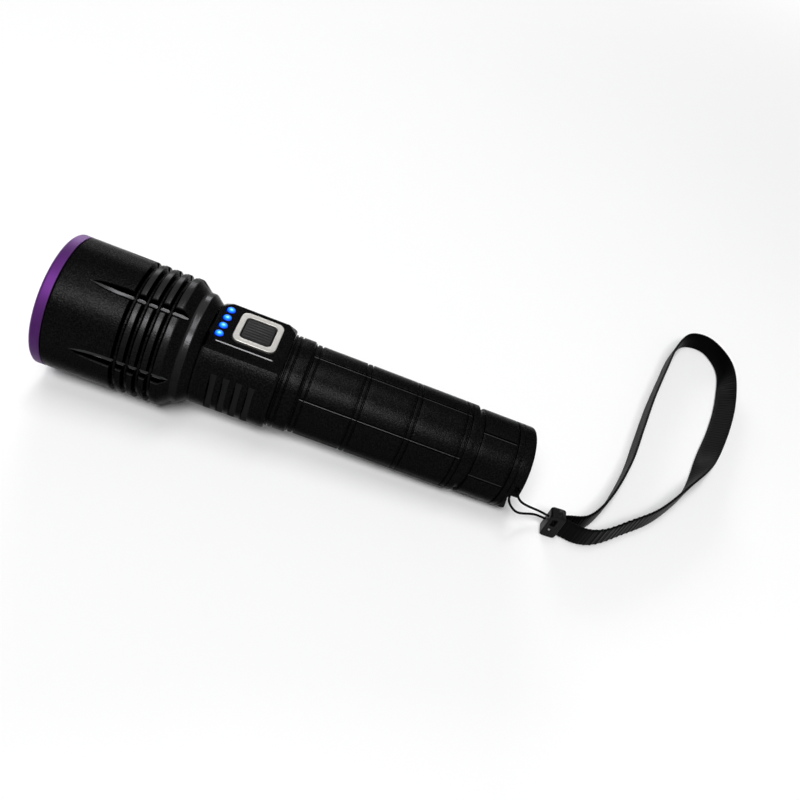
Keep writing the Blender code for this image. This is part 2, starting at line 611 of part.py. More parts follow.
def make_switch_housing(torch, finishes):
    """Switch section with its raised pad, side fins and sockets."""
    groove = NECK_SPIGOT_RADIUS - SEAL_GROOVE_DEPTH
    half_groove = SEAL_WIRE + GAP
    seal_x = NECK_SPIGOT_FRONT + NECK_SPIGOT_LENGTH / 2
    tube_groove = TUBE_SPIGOT_RADIUS - SEAL_GROOVE_DEPTH
    tube_seal_x = SWITCH_END + TUBE_SPIGOT_LENGTH / 2
    cavity = CARRIER_FRONT - GAP
    housing = add_piece("switch_housing", spun([
        (NECK_SPIGOT_FRONT, NECK_SPIGOT_BORE), (NECK_SPIGOT_FRONT, NECK_SPIGOT_RADIUS),
        (seal_x - half_groove, NECK_SPIGOT_RADIUS), (seal_x - half_groove, groove),
        (seal_x + half_groove, groove), (seal_x + half_groove, NECK_SPIGOT_RADIUS),
        (SWITCH_FRONT, NECK_SPIGOT_RADIUS), (SWITCH_FRONT, SWITCH_RADIUS), (SWITCH_END, SWITCH_RADIUS),
        (SWITCH_END, TUBE_SPIGOT_RADIUS), (tube_seal_x - half_groove, TUBE_SPIGOT_RADIUS),
        (tube_seal_x - half_groove, tube_groove), (tube_seal_x + half_groove, tube_groove),
        (tube_seal_x + half_groove, TUBE_SPIGOT_RADIUS), (TUBE_SPIGOT_END, TUBE_SPIGOT_RADIUS),
        (TUBE_SPIGOT_END, SWITCH_BORE_RADIUS), (cavity, SWITCH_BORE_RADIUS),
        (cavity, NECK_SPIGOT_BORE)]), finishes["black"], torch)
    seal_ring("neck_seal", seal_x, NECK_SPIGOT_RADIUS - SEAL_WIRE, finishes["rubber"], torch)
    seal_ring("tube_seal", tube_seal_x, TUBE_SPIGOT_RADIUS - SEAL_WIRE, finishes["rubber"], torch)

    # The round top is milled away below the pad, which then stands on it
    crown = bmesh.new()
    box(crown, (SWITCH_FRONT - GAP, -SWITCH_RADIUS, PAD_HEIGHT - GAP),
        (SWITCH_END + GAP / 2, SWITCH_RADIUS, SWITCH_RADIUS + OVERCUT))
    boolean(housing, "switch_crown", crown)
    middle = (SWITCH_FRONT + SWITCH_END) / 2
    half = SWITCH_LENGTH / 2 - PAD_END_MARGIN
    top = octagon(half, PAD_HALF_WIDTH, PAD_CORNER)
    foot = octagon(half + PAD_END_MARGIN / 2, PAD_HALF_WIDTH + PAD_FLANK_RUN, PAD_FOOT_CORNER)
    boolean(housing, "switch_pad", lofted([level(foot, PAD_HEIGHT - PAD_FLANK_DROP, middle),
                                           level(top, PAD_HEIGHT, middle)]), "UNION")

    fins = bmesh.new()
    for side in (-1, 1):
        near = side * (SWITCH_RADIUS - FIN_DEPTH)
        far = side * (SWITCH_RADIUS + OVERCUT)
        for index in range(FIN_COUNT):
            x = SWITCH_FRONT + FIN_CENTRE + (index - (FIN_COUNT - 1) / 2) * FIN_PITCH
            box(fins, (x - FIN_WIDTH / 2, min(near, far), -FIN_HALF_HEIGHT),
                (x + FIN_WIDTH / 2, max(near, far), FIN_HALF_HEIGHT))
    boolean(housing, "side_fins", fins)

    # Pocket of the button frame, then the well of the button, then the indicator holes
    sky = PAD_HEIGHT + OVERCUT
    pocket = FRAME_SIZE + 2 * GAP
    pocket_outline = rounded(pocket, pocket, FRAME_CORNER + GAP)
    boolean(housing, "frame_pocket", lofted([level(pocket_outline, FRAME_FLOOR - GAP, BUTTON_X),
                                             level(pocket_outline, sky, BUTTON_X)]))
    well = FLANGE_SIZE + 2 * GAP
    well_outline = rounded(well, well, BUTTON_CORNER + GAP)
    boolean(housing, "button_well", lofted([level(well_outline, CARRIER_TOP, BUTTON_X),
                                            level(well_outline, FRAME_FLOOR, BUTTON_X)]))
    holes = bmesh.new()
    for x, y in led_places():
        loft(holes, [ring_at(x, y, z, LED_RADIUS + GAP) for z in
                     (PAD_HEIGHT - LED_DEPTH - GAP, sky)])
    boolean(housing, "indicator_holes", holes)

    # Charging port: a shallow pocket for the cover and a through slot for the socket
    under = SWITCH_RADIUS - COVER_SINK - COVER_THICKNESS
    cover = rounded(COVER_LENGTH + 2 * COVER_END_ROOM, COVER_WIDTH + 2 * GAP, COVER_CORNER)
    boolean(housing, "cover_pocket", lofted([level(cover, -under + GAP, BUTTON_X),
                                             level(cover, -SWITCH_RADIUS - OVERCUT, BUTTON_X)]))
    slot = rounded(PORT_LENGTH + 2 * GAP, PORT_WIDTH + 2 * GAP, PORT_CORNER + GAP)
    boolean(housing, "socket_slot", lofted([level(slot, -SWITCH_BORE_RADIUS + OVERCUT, BUTTON_X),
                                            level(slot, -under - GAP, BUTTON_X)]))


def octagon(half_length, half_width, corner):
    """Rectangle outline with its four corners cut off."""
    a = half_length
    b = half_width
    return [(a, -b + corner), (a, b - corner), (a - corner, b), (corner - a, b),
            (-a, b - corner), (-a, corner - b), (corner - a, -b), (a - corner, -b)]


def led_places():
    """Centres of the indicator row across the front of the pad."""
    x = SWITCH_FRONT + LED_STATION
    return [(x, (index - (LED_COUNT - 1) / 2) * LED_PITCH) for index in range(LED_COUNT)]


def ring_at(x, y, z, radius, sides=SMALL_SEGMENTS // 2):
    """A level circle of points."""
    angles = [2 * pi * side / sides for side in range(sides)]
    return [Vector((x + radius * cos(angle), y + radius * sin(angle), z)) for angle in angles]


def make_switch(torch, finishes):
    """Button, its frame, the indicators and the electronics below them."""
    outer = rounded(FRAME_SIZE, FRAME_SIZE, FRAME_CORNER)
    opening = FRAME_SIZE - 2 * FRAME_BAR
    inner = rounded(opening, opening, BUTTON_CORNER + GAP)
    add_piece("switch_frame", lofted([level(outer, FRAME_FLOOR), level(outer, FRAME_TOP),
                                      level(inner, FRAME_TOP), level(inner, FRAME_FLOOR)], closed=True),
              finishes["silver"], torch, (BUTTON_X, 0, 0))
    stem = rounded(BUTTON_SIZE, BUTTON_SIZE, BUTTON_CORNER)
    flange = rounded(FLANGE_SIZE, FLANGE_SIZE, BUTTON_CORNER)
    add_piece("push_button", lofted([level(flange, FLANGE_BOTTOM), level(flange, FLANGE_TOP),
                                     level(stem, FLANGE_TOP), level(stem, BUTTON_TOP)]),
              finishes["button"], torch, (BUTTON_X, 0, 0))
    for index, (x, y) in enumerate(led_places()):
        levels = (PAD_HEIGHT - LED_DEPTH, PAD_HEIGHT, PAD_HEIGHT + LED_RISE)
        radii = (LED_RADIUS, LED_RADIUS, LED_RADIUS - LED_RISE)
        add_piece(f"indicator_led_{index + 1}",
                  lofted([ring_at(0, 0, z, radius) for z, radius in zip(levels, radii)]),
                  finishes["indicator"], torch, (x, y, 0))

    tact = bmesh.new()
    box(tact, (-TACT_SIZE / 2, -TACT_SIZE / 2, TACT_TOP - TACT_HEIGHT), (TACT_SIZE / 2, TACT_SIZE / 2, TACT_TOP))
    add_piece("tact_switch", tact, finishes["silver"], torch, (BUTTON_X, 0, 0))
    board = bmesh.new()
    box(board, (-SWITCH_BOARD_LENGTH / 2, -SWITCH_BOARD_WIDTH / 2, SWITCH_BOARD_TOP - BOARD_THICKNESS),
        (SWITCH_BOARD_LENGTH / 2, SWITCH_BOARD_WIDTH / 2, SWITCH_BOARD_TOP))
    add_piece("switch_board", board, finishes["board"], torch, (BUTTON_X, 0, 0))
    body = SWITCH_BORE_RADIUS - GAP
    end = CARRIER_FRONT + CARRIER_LENGTH
    carrier = add_piece("switch_carrier", spun([
        (CARRIER_FRONT, CARRIER_BORE), (CARRIER_FRONT, body), (end, body), (end, CARRIER_BORE)]),
        finishes["white"], torch)
    flat = bmesh.new()
    box(flat, (CARRIER_FRONT - OVERCUT, -SWITCH_RADIUS, CARRIER_TOP),
        (end + OVERCUT, SWITCH_RADIUS, SWITCH_RADIUS))
    boolean(carrier, "carrier_flat", flat)

    front = DRIVER_BACK - DRIVER_BOARD_THICKNESS
    add_piece("driver_board", spun([(front, 0), (front, body), (DRIVER_BACK, body), (DRIVER_BACK, 0)],
                                   SMALL_SEGMENTS, closed=False), finishes["board"], torch)
    coil("front_contact_spring", DRIVER_BACK + GAP, FRONT_SPRING_LENGTH, FRONT_SPRING_RADIUS,
         FRONT_SPRING_TAPER, FRONT_SPRING_TURNS, finishes["silver"], torch)


def make_charging_port(torch, finishes):
    """Metal socket in the wall opposite the switch, and the rubber cover hinged over it."""
    under = SWITCH_RADIUS - COVER_SINK - COVER_THICKNESS
    outer = rounded(PORT_LENGTH, PORT_WIDTH, PORT_CORNER)
    inner = rounded(PORT_LENGTH - 2 * PORT_WALL, PORT_WIDTH - 2 * PORT_WALL, PORT_CORNER - PORT_WALL)
    deep = -SWITCH_BORE_RADIUS - GAP
    mouth = -under + 2 * GAP
    add_piece("charge_socket", lofted([level(outer, deep), level(outer, mouth),
                                       level(inner, mouth), level(inner, deep)], closed=True),
              finishes["silver"], torch, (BUTTON_X, 0, 0))
    hinge = COVER_LENGTH / 2 - HINGE_INSET
    plate = rounded(COVER_LENGTH, COVER_WIDTH, COVER_CORNER)
    low = -COVER_THICKNESS / 2
    add_piece("port_cover", lofted([level(plate, low, -hinge), level(plate, -low, -hinge)]),
              finishes["rubber"], torch, (BUTTON_X + hinge, 0, -under + low))


def make_tube(torch, finishes):
    """Battery tube with its banded grip, and the cell inside."""
    counterbore = TUBE_SPIGOT_RADIUS + GAP
    front_end = TUBE_SPIGOT_END + GAP
    rear_start = TAIL_SPIGOT_FRONT - GAP
    collar = grooved(TUBE_FRONT, COLLAR_END, COLLAR_RADIUS,
                     [(TUBE_FRONT + offset, GROOVE_WIDTH, GROOVE_DEPTH) for offset in COLLAR_GROOVES])
    bands = []
    for index in range(BAND_COUNT):
        first = COLLAR_END + GROOVE_WIDTH + index * BAND_PITCH
        bands += [first, first + BAND_WIDTH]
    barrel = grooved(COLLAR_END, TUBE_END, TUBE_RADIUS,
                     [(station, GROOVE_WIDTH, GROOVE_DEPTH) for station in bands])
    inner = [(TUBE_END, counterbore), (rear_start, counterbore), (rear_start, TUBE_BORE_RADIUS),
             (front_end, TUBE_BORE_RADIUS), (front_end, counterbore), (TUBE_FRONT, counterbore)]
    grip = add_piece("battery_tube", spun(collar + barrel + inner), finishes["black"], torch)
    flutes = bmesh.new()
    for index in range(FLUTE_COUNT):
        flute(flutes, bands[0], bands[-1], TUBE_RADIUS, 2 * pi * index / FLUTE_COUNT)
    boolean(grip, "tube_flutes", flutes)

    cell_edge = CELL_RADIUS - CELL_EDGE
    add_piece("battery_cell", spun([
        (NUB_FRONT, 0), (NUB_FRONT, CELL_NUB_RADIUS), (CELL_BODY_FRONT, CELL_NUB_RADIUS),
        (CELL_BODY_FRONT, cell_edge), (CELL_BODY_FRONT + CELL_EDGE, CELL_RADIUS),
        (CELL_END - CELL_EDGE, CELL_RADIUS), (CELL_END, cell_edge), (CELL_END, 0)],
        SMALL_SEGMENTS, closed=False), finishes["cell"], torch)


def flute(bm, start, end, radius, angle):
    """A V-shaped cutter along the axis at one angle round the grip."""
    turn = Matrix.Rotation(angle, 3, "X")
    deep = radius * FACET - FLUTE_DEPTH
    lip = radius + FLUTE_DEPTH
    half = FLUTE_WIDTH / 2 * (lip - deep) / FLUTE_DEPTH
    loft(bm, [[turn @ Vector(point) for point in ((x, 0, deep), (x, half, lip), (x, -half, lip))]
              for x in (start, end)])


def make_tail(torch, finishes):
    """Tail cap with its contact stack, lanyard hole and notch."""
    spigot = TUBE_SPIGOT_RADIUS
    groove = spigot - SEAL_GROOVE_DEPTH
    half_groove = SEAL_WIRE + GAP
    seal_x = TUBE_END - TAIL_SEAL_SETBACK
    big = TAIL_END - TAIL_GROOVE
    outer = [(TAIL_SPIGOT_FRONT, TAIL_BORE_RADIUS), (TAIL_SPIGOT_FRONT, spigot),
             (seal_x - half_groove, spigot), (seal_x - half_groove, groove),
             (seal_x + half_groove, groove), (seal_x + half_groove, spigot), (TAIL_FRONT, spigot)]
    outer += grooved(TAIL_FRONT, TAIL_END - TAIL_EDGE, TAIL_RADIUS,
                     [(big, TAIL_GROOVE_WIDTH, TAIL_GROOVE_DEPTH),
                      (TAIL_END - TAIL_LINE, TAIL_LINE_WIDTH, TAIL_LINE_DEPTH)])
    outer += [(TAIL_END, TAIL_RADIUS - TAIL_EDGE), (TAIL_END, TAIL_RECESS_RADIUS),
              (TAIL_RECESS_FLOOR, TAIL_RECESS_RADIUS), (TAIL_RECESS_FLOOR, 0)]
    inner = [(TAIL_FLOOR, 0), (TAIL_FLOOR, TAIL_BORE_RADIUS)]
    cap = add_piece("tail_cap", spun(inner + outer, closed=False), finishes["black"], torch)
    seal_ring("tail_seal", seal_x, spigot - SEAL_WIRE, finishes["rubber"], torch)

    flutes = bmesh.new()
    for index in range(FLUTE_COUNT):
        flute(flutes, TAIL_FRONT - GAP, big, TAIL_RADIUS, TAIL_FLUTE_ANGLE + 2 * pi * index / FLUTE_COUNT)
    boolean(cap, "tail_flutes", flutes)
    sector = []
    for step in range(NOTCH_STEPS + 1):
        angle = NOTCH_START + (NOTCH_END - NOTCH_START) * step / NOTCH_STEPS
        sector.append((TAIL_RADIUS + OVERCUT, angle))
    sector += [(TAIL_RECESS_RADIUS - GAP, NOTCH_END), (TAIL_RECESS_RADIUS - GAP, NOTCH_START)]
    rings = [[around(x, radius, angle) for radius, angle in sector]
             for x in (TAIL_END - NOTCH_DEPTH, TAIL_END + OVERCUT)]
    boolean(cap, "rim_notch", lofted(rings))
    turn = Matrix.Rotation(LANYARD_ANGLE, 3, "X")
    drill = [[turn @ point for point in ring_at(LANYARD_X, 0, z, LANYARD_HOLE_RADIUS)]
             for z in (TAIL_RECESS_RADIUS - OVERCUT, TAIL_RADIUS + OVERCUT)]
    boolean(cap, "lanyard_hole", lofted(drill))

    body = TAIL_BORE_RADIUS - GAP
    contact_back = CONTACT_FRONT + CONTACT_PLATE_THICKNESS
    add_piece("tail_contact_plate", spun([
        (CONTACT_FRONT, 0), (CONTACT_FRONT, body), (contact_back, body), (contact_back, 0)],
        SMALL_SEGMENTS, closed=False), finishes["board"], torch)
    bore = body - RETAINER_WALL
    retainer_back = RETAINER_FRONT + RETAINER_THICKNESS
    add_piece("tail_retaining_ring", spun([
        (RETAINER_FRONT, bore), (RETAINER_FRONT, body), (retainer_back, body), (retainer_back, bore)],
        SMALL_SEGMENTS), finishes["brass"], torch)
    spring_end = CONTACT_FRONT - GAP
    spring = coil("tail_spring", 0, TAIL_SPRING_LENGTH, TAIL_SPRING_RADIUS, TAIL_SPRING_TAPER,
                  TAIL_SPRING_TURNS, finishes["silver"], torch)
    spring.location = (spring_end, 0, 0)
    spring.rotation_euler = (0, 0, pi)


def make_lanyard(finishes):
    """Strap standing on edge in a loop, its clip and rivet, and the doubled string."""
    route = smooth_route(STRAP_ROUTE, STRAP_STEP)
    rings = []
    length = 0
    for index, point in enumerate(route):
        length += (point - route[max(index - 1, 0)]).length
        ahead = route[min(index + 1, len(route) - 1)] - route[max(index - 1, 0)]
        outward = Vector((ahead.y, -ahead.x, 0)).normalized()
        lean = STRAP_LEAN * (ease(length, STRAP_LEANS_OVER) - ease(length, STRAP_STANDS_UP))
        rings.append(strap_section(point, outward, lean))
    print("strap length", round(length, 4))
    add_piece("wrist_strap", lofted(rings), finishes["webbing"])

    face = rounded(CLIP_LENGTH, CLIP_HEIGHT, CLIP_CORNER)
    half = CLIP_THICKNESS / 2
    clip = add_piece("strap_clip", lofted([upright(face, -half), upright(face, half)]),
                     finishes["clip"], None, CLIP_CENTRE)
    eye = bmesh.new()
    eye_x, eye_z = CLIP_EYE_OFFSET
    box(eye, (eye_x - CLIP_EYE_LENGTH / 2, -half - OVERCUT, eye_z - CLIP_EYE_HEIGHT / 2),
        (eye_x + CLIP_EYE_LENGTH / 2, half + OVERCUT, eye_z + CLIP_EYE_HEIGHT / 2))
    boolean(clip, "clip_eye", eye)
    rivet_x, rivet_z = RIVET_OFFSET
    hole = [(point.x, point.y) for point in ring_at(rivet_x, rivet_z, 0, RIVET_RADIUS + GAP)]
    boolean(clip, "rivet_hole", lofted([upright(hole, -half - OVERCUT), upright(hole, half + OVERCUT)]))
    shank = [(point.x, point.y) for point in ring_at(rivet_x, rivet_z, 0, RIVET_RADIUS)]
    reach = half + RIVET_PROUD
    add_piece("clip_rivet", lofted([upright(shank, -reach), upright(shank, reach)]),
              finishes["silver"], None, CLIP_CENTRE)

    # One string runs from the clip into the lanyard hole, through the recess and back out of the notch
    centre = Vector(CLIP_CENTRE)
    knots = [centre + Vector(offset) for offset in STRING_LEAVES_CLIP]
    for offset, radius, angle in STRING_AT_CAP:
        knots.append(LIE_MATRIX @ around(TAIL_END + offset, radius, radians(angle)))
    knots += [centre + Vector(offset) for offset in STRING_MEETS_CLIP]
    string = smooth_route(knots, STRING_STEP)
    print("string length", round(sum((two - one).length for one, two in zip(string, string[1:])), 4))
    tube("lanyard_string", string, STRING_RADIUS, STRING_RESOLUTION, finishes["webbing"])


def ease(value, stretch):
    """Smooth rise from 0 at the start of a stretch to 1 at its end."""
    start, end = stretch
    share = min(max((value - start) / (end - start), 0), 1)
    return share * share * (3 - 2 * share)


def strap_section(point, outward, lean):
    """Corners of the strap at a point of its route, sunk as it leans so that its lower edge stays put."""
    up = Vector((0, 0, 1))
    rise = (outward * sin(lean) + up * cos(lean)) * STRAP_WIDTH / 2
    side = (up * sin(lean) - outward * cos(lean)) * STRAP_THICKNESS / 2
    sink = STRAP_WIDTH / 2 - rise.z - side.z
    middle = point - up * sink
    return [middle - side - rise, middle + side - rise, middle + side + rise, middle - side + rise]


def upright(outline, y):
    """Stand an outline up in X and Z at depth y."""
    return [Vector((x, y, z)) for x, z in outline]


def make_finishes():
    """Colours read from the object: black anodising, a purple bezel and a silver button frame."""
    return {
        "black": material("black_anodised_aluminium", (0.020, 0.020, 0.022), 0.45, 0.6),
        "purple": material("purple_anodised_aluminium", (0.160, 0.032, 0.262), 0.30, 1.0),
        "silver": material("plated_steel", (0.550, 0.530, 0.500), 0.30, 1.0),
        "bare_metal": material("bare_aluminium", (0.600, 0.600, 0.610), 0.35, 1.0),
        "mirror": material("polished_reflector", (0.850, 0.850, 0.860), 0.05, 1.0),
        "glass": material("lens_glass", (0.750, 0.720, 0.850), 0.05),
        "rubber": material("black_rubber", (0.018, 0.018, 0.018), 0.70),
        "button": material("black_button_plastic", (0.022, 0.022, 0.024), 0.40),
        "indicator": material("blue_indicator", (0.030, 0.110, 0.900), 0.25),
        "white": material("white_nylon", (0.800, 0.800, 0.780), 0.50),
        "emitter": material("emitter_silicone", (0.750, 0.700, 0.350), 0.25),
        "copper": material("copper_board", (0.720, 0.380, 0.250), 0.35, 1.0),
        "board": material("circuit_board", (0.030, 0.160, 0.070), 0.45),
        "brass": material("brass", (0.700, 0.520, 0.220), 0.30, 1.0),
        "cell": material("cell_wrap", (0.060, 0.170, 0.330), 0.40),
        "webbing": material("black_nylon_webbing", (0.012, 0.012, 0.013), 0.75),
        "clip": material("black_clip_plastic", (0.016, 0.016, 0.018), 0.45),
    }


def main():
    for old in list(bpy.data.objects):
        bpy.data.objects.remove(old)
    torch = bpy.data.objects.new("torch_axis", None)
    bpy.context.collection.objects.link(torch)
    torch.matrix_world = LIE_MATRIX
    finishes = make_finishes()
    make_optics(torch, finishes)
    make_head(torch, finishes)
    make_switch_housing(torch, finishes)
    make_switch(torch, finishes)
    make_charging_port(torch, finishes)
    make_tube(torch, finishes)
    make_tail(torch, finishes)
    make_lanyard(finishes)


main()
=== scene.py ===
"""Looks of a handheld ultraviolet torch lying on a table with its wrist strap.

Torch pieces are worked out in the torch's own millimetres: a station x from the lens to the tail,
an angle round the axis that starts at the switch and turns towards -Y, and a radius. The strap and its
string are worked out straight in the frame, in metres, and the clip and its rivet in millimetres from
the clip's centre.
"""
import json

import bmesh
import bpy
import numpy as np
from mathutils import Matrix


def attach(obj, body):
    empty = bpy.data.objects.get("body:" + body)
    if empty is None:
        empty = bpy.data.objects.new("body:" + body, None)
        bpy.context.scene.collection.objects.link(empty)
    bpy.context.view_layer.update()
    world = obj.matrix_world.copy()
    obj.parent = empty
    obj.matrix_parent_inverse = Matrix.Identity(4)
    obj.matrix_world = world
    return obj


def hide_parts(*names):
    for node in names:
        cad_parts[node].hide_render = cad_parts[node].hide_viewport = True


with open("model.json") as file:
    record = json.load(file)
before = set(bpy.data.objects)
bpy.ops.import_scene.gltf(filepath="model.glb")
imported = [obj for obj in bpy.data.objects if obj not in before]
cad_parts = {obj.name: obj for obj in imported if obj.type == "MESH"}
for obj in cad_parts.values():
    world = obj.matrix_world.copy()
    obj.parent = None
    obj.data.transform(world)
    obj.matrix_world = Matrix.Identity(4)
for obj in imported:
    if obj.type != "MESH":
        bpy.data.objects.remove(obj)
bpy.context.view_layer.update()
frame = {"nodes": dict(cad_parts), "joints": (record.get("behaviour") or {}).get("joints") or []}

MM = 0.001
WELD = 1e-7
SHARP_ANGLE = np.radians(30)
AROUND = 160

# Stations along the torch and radii or heights from its axis, in millimetres

# Bezel ring, with the skirt that screws into the head
BEZEL_LENGTH = 3.7
BEZEL_OPENING = 19.0
BEZEL_CHAMFER = 0.7
BEZEL_LIP = 19.4
BEZEL_LIP_BACK = 1.6
SKIRT_RADIUS = 21.2
SKIRT_BORE = 20.2
SKIRT_END = 8.7

# Head: barrel, ribs, shoulder, neck, the chamber inside and the slots
HEAD_RADIUS = 23.0
HEAD_FRONT = 4.0
HEAD_MOUTH = 21.5
HEAD_MOUTH_CHAMFER = 0.3
HEAD_THREAD_END = 9.0
CHAMBER_RADIUS = 19.2
CHAMBER_END = 35.4
RIBS_FRONT = 26.3
RIB_GROOVE_COUNT = 4
RIB_GROOVE_WIDTH = 2.1
RIB_PITCH = 3.9
RIB_DEPTH = 2.1
RIB_WALL_RUN = 0.45
CREST_END = 42.3
SHOULDER_END = 46.1
NECK_RADIUS = 20.0
NECK_BORE = 14.3
NECK_END = 48.1
HEAD_END = 51.2
HEAD_END_RADIUS = 17.5
SLOT_ANGLE = np.radians(23)
SLOT_TIP = 13.0
SLOT_RAMP = 13.0
SLOT_DEPTH = 2.0
SLOT_OPEN_DEPTH = 0.8
SLOT_FLOOR = 0.5
SLOT_SOFTNESS = 0.25
SLOT_SLOPE = 0.6

# Lens, reflector and the emitter's dome
LENS_RADIUS = 19.9
LENS_FRONT = 3.2
LENS_BACK = 5.7
BOWL_FRONT = 6.0
BOWL_END = 26.0
BOWL_MOUTH = 18.2
BOWL_THROAT = 3.6
BOWL_BACK = ((BOWL_END, 8.0), (22.0, 11.5), (16.0, 15.4), (10.0, 18.0), (7.2, 18.9), (7.2, LENS_RADIUS),
             (BOWL_FRONT, LENS_RADIUS))
DOME_FOOT = 27.9
DOME_BASE = 26.8
DOME_HEIGHT = 2.1
DOME_RADIUS = 2.4

# Switch section: its spigots and bore, the pad and the side fins
SWITCH_FRONT = 51.5
SWITCH_END = 78.1
SWITCH_RADIUS = 18.0
SWITCH_BORE = 12.5
SWITCH_BORE_FRONT = 55.7
FRONT_SPIGOT_START = 44.0
FRONT_SPIGOT_RADIUS = 14.0
FRONT_SPIGOT_BORE = 11.0
REAR_SPIGOT_END = 86.0
END_CHAMFER_RUN = 0.3
END_CHAMFER_SHARE = 0.014
PAD_HEIGHT = 16.7
PAD_HALF_WIDTH = 9.9
PAD_CORNER = 3.5
PAD_FOOT = 11.8
PAD_EDGE_TOP = 0.13
PAD_EDGE_FLANK = 0.30
FIN_COUNT = 4
FIN_CENTRE = 64.7
FIN_PITCH = 4.34
FIN_WIDTH = 2.4
FIN_WALL_RUN = 0.12
FIN_DEPTH = 2.65
FIN_ANGLE = 96.0

# Button, its frame and its well. A well is given by half length, half width and corner radius
BUTTON_X = 66.55
BUTTON_WELL = (6.45, 6.45, 1.7)
BUTTON_WELL_FLOOR = 9.3
BUTTON_FOOT = 14.2
BUTTON_FLANGE_HALF = 6.15
BUTTON_FLANGE_TOP = 15.2
BUTTON_HALF = 5.15
BUTTON_CORNER = 1.4
BUTTON_EDGE = 17.1
BUTTON_CROWN = 17.25
BUTTON_RIBS_HALF = 4.7
BUTTON_RIB_PITCH = 1.3
BUTTON_RIB_HEIGHT = 0.05
FRAME_POCKET = (7.75, 7.75, 2.8)
FRAME_POCKET_FLOOR = 15.5
FRAME_HALF = 7.45
FRAME_CORNER = 2.5
FRAME_BAR = 2.0
FRAME_FOOT = 15.8
FRAME_TOP = 17.4

# Indicators
LED_COUNT = 4
LED_X = 55.0
LED_PITCH = 4.2
LED_RADIUS = 1.4
LED_GAP = 0.2
LED_HOLE_FLOOR = 14.4
LED_FOOT = 14.7
LED_RIM = 16.85
LED_CROWN = 17.0

# Charging port and its cover, under the button
PORT_HOLE = (4.75, 1.9, 1.5)
PORT_HOLE_TOP = -10.5
COVER_POCKET = (7.1, 4.1, 2.0)
COVER_POCKET_TOP = -16.4
COVER_HALF_LENGTH = 6.5
COVER_HALF_WIDTH = 3.8
COVER_CORNER = 2.0
COVER_HIGH = -16.7
COVER_LOW = -17.7
COVER_LIP = 0.18
COVER_LIP_X = -5.0
COVER_LIP_WIDTH = 0.45

# Battery tube: collar, rings in pairs, and axial lines
TUBE_FRONT = 78.4
TUBE_RADIUS = 16.2
TUBE_MOUTH = 14.9
TUBE_BORE = 13.4
TUBE_BORE_FRONT = 86.3
TUBE_BORE_END = 138.6
TUBE_END = 147.9
COLLAR_RADIUS = 16.8
COLLAR_RINGS = (79.3, 81.0)
COLLAR_END = 85.6
COLLAR_STEP = 0.25
BAND_COUNT = 4
BAND_START = 0.9
BAND_PITCH = 18.9
BAND_WIDTH = 1.9
RING_WIDTH = 0.7
RING_DEPTH = 0.5
FLUTE_DEPTH = 0.5
FLUTE_SOFTNESS = 0.35
FLUTE_SLOPE = 0.75

# Tail cap: spigot and thread, grooves, recess, notch and the hole for the string
SPIGOT_START = 138.9
SPIGOT_RADIUS = 14.6
SPIGOT_BORE = 13.4
THREAD_START = 139.4
THREAD_END = 144.2
THREAD_PITCH = 1.5
THREAD_DEPTH = 0.35
TAIL_FRONT = 150.2
TAIL_RADIUS = 15.7
TAIL_FLOOR = 164.7
TAIL_END = 170.0
TAIL_EDGE = 0.9
TAIL_GROOVE = 163.1
TAIL_GROOVE_DEPTH = 0.7
TAIL_RINGS = ((TAIL_GROOVE, 0.8, TAIL_GROOVE_DEPTH), (165.5, 0.45, 0.3))
TAIL_FLUTE_ANGLE = np.radians(77.6)
RECESS_RADIUS = 12.0
RECESS_FLOOR = 166.4
NOTCH_ARC = (85, 135)
NOTCH_RADII = (17.5, 11.7)
NOTCH_DEPTH = 3.4
STRING_HOLE = 1.1
STRING_HOLE_DEPTH = 2.0
STRING_HOLE_ANGLE = np.radians(73)

# Shares of the smooth finish: on fin slots, on axial lines, and where use rubs the neck and the ribs, raised
# on the switch's side, which faces the light, as a painted highlight
FIN_SMOOTHNESS = 0.26
FLUTE_SMOOTHNESS = 0.8
NECK_RUB = 0.15
NECK_RUB_AND_HIGHLIGHT = 0.70
CREST_RUB_AND_HIGHLIGHT = 0.55

# Torch axes in the frame, from the joints that run along them
JOINTS = {joint["name"]: joint for joint in frame["joints"]}
ALONG = np.array(JOINTS["tail_unscrew"]["axis"])
UP = -np.array(JOINTS["button_press"]["axis"])
AXES = np.stack([ALONG, np.cross(UP, ALONG), UP])
LENS_END = np.array(JOINTS["tail_unscrew"]["pos_m"]) - TAIL_FRONT * MM * ALONG

# Strap, clip and string, in metres, along the route of their solids
CLIP_CENTRE = np.array((0.1030, -0.0120, 0.0062))
STRAP_WIDTH = 0.0095
STRAP_THICKNESS = 0.0010
STRAP_RIB = 0.0014
STRAP_RIB_RELIEF = 0.16
STRAP_EDGE_RELIEF = 0.015
STRAP_LOW = 0.00505
STRAP_ROUTE = (
    (0.1062, -0.0129, 0.0062), (0.1140, -0.0138, 0.0058), (0.1220, -0.0108, 0.0053),
    (0.1323, -0.0029, STRAP_LOW), (0.1475, 0.0101, STRAP_LOW), (0.1641, 0.0317, STRAP_LOW),
    (0.1756, 0.0540, STRAP_LOW), (0.1856, 0.0785, STRAP_LOW), (0.1920, 0.1010, STRAP_LOW),
    (0.1932, 0.1210, STRAP_LOW), (0.1860, 0.1345, STRAP_LOW), (0.1745, 0.1335, STRAP_LOW),
    (0.1652, 0.1190, STRAP_LOW), (0.1570, 0.0970, STRAP_LOW), (0.1490, 0.0740, STRAP_LOW),
    (0.1420, 0.0510, STRAP_LOW), (0.1352, 0.0290, STRAP_LOW), (0.1255, 0.0070, 0.0053),
    (0.1160, -0.0066, 0.0058), (0.1062, -0.0111, 0.0062),
)
STRAP_STEP = 0.0002
STRAP_LEAN = np.radians(60)
STRAP_LEANS_OVER = (0.0650, 0.1100)
STRAP_STANDS_UP = (0.1450, 0.1900)
RIPPLE_STARTS = (0.006, 0.016)
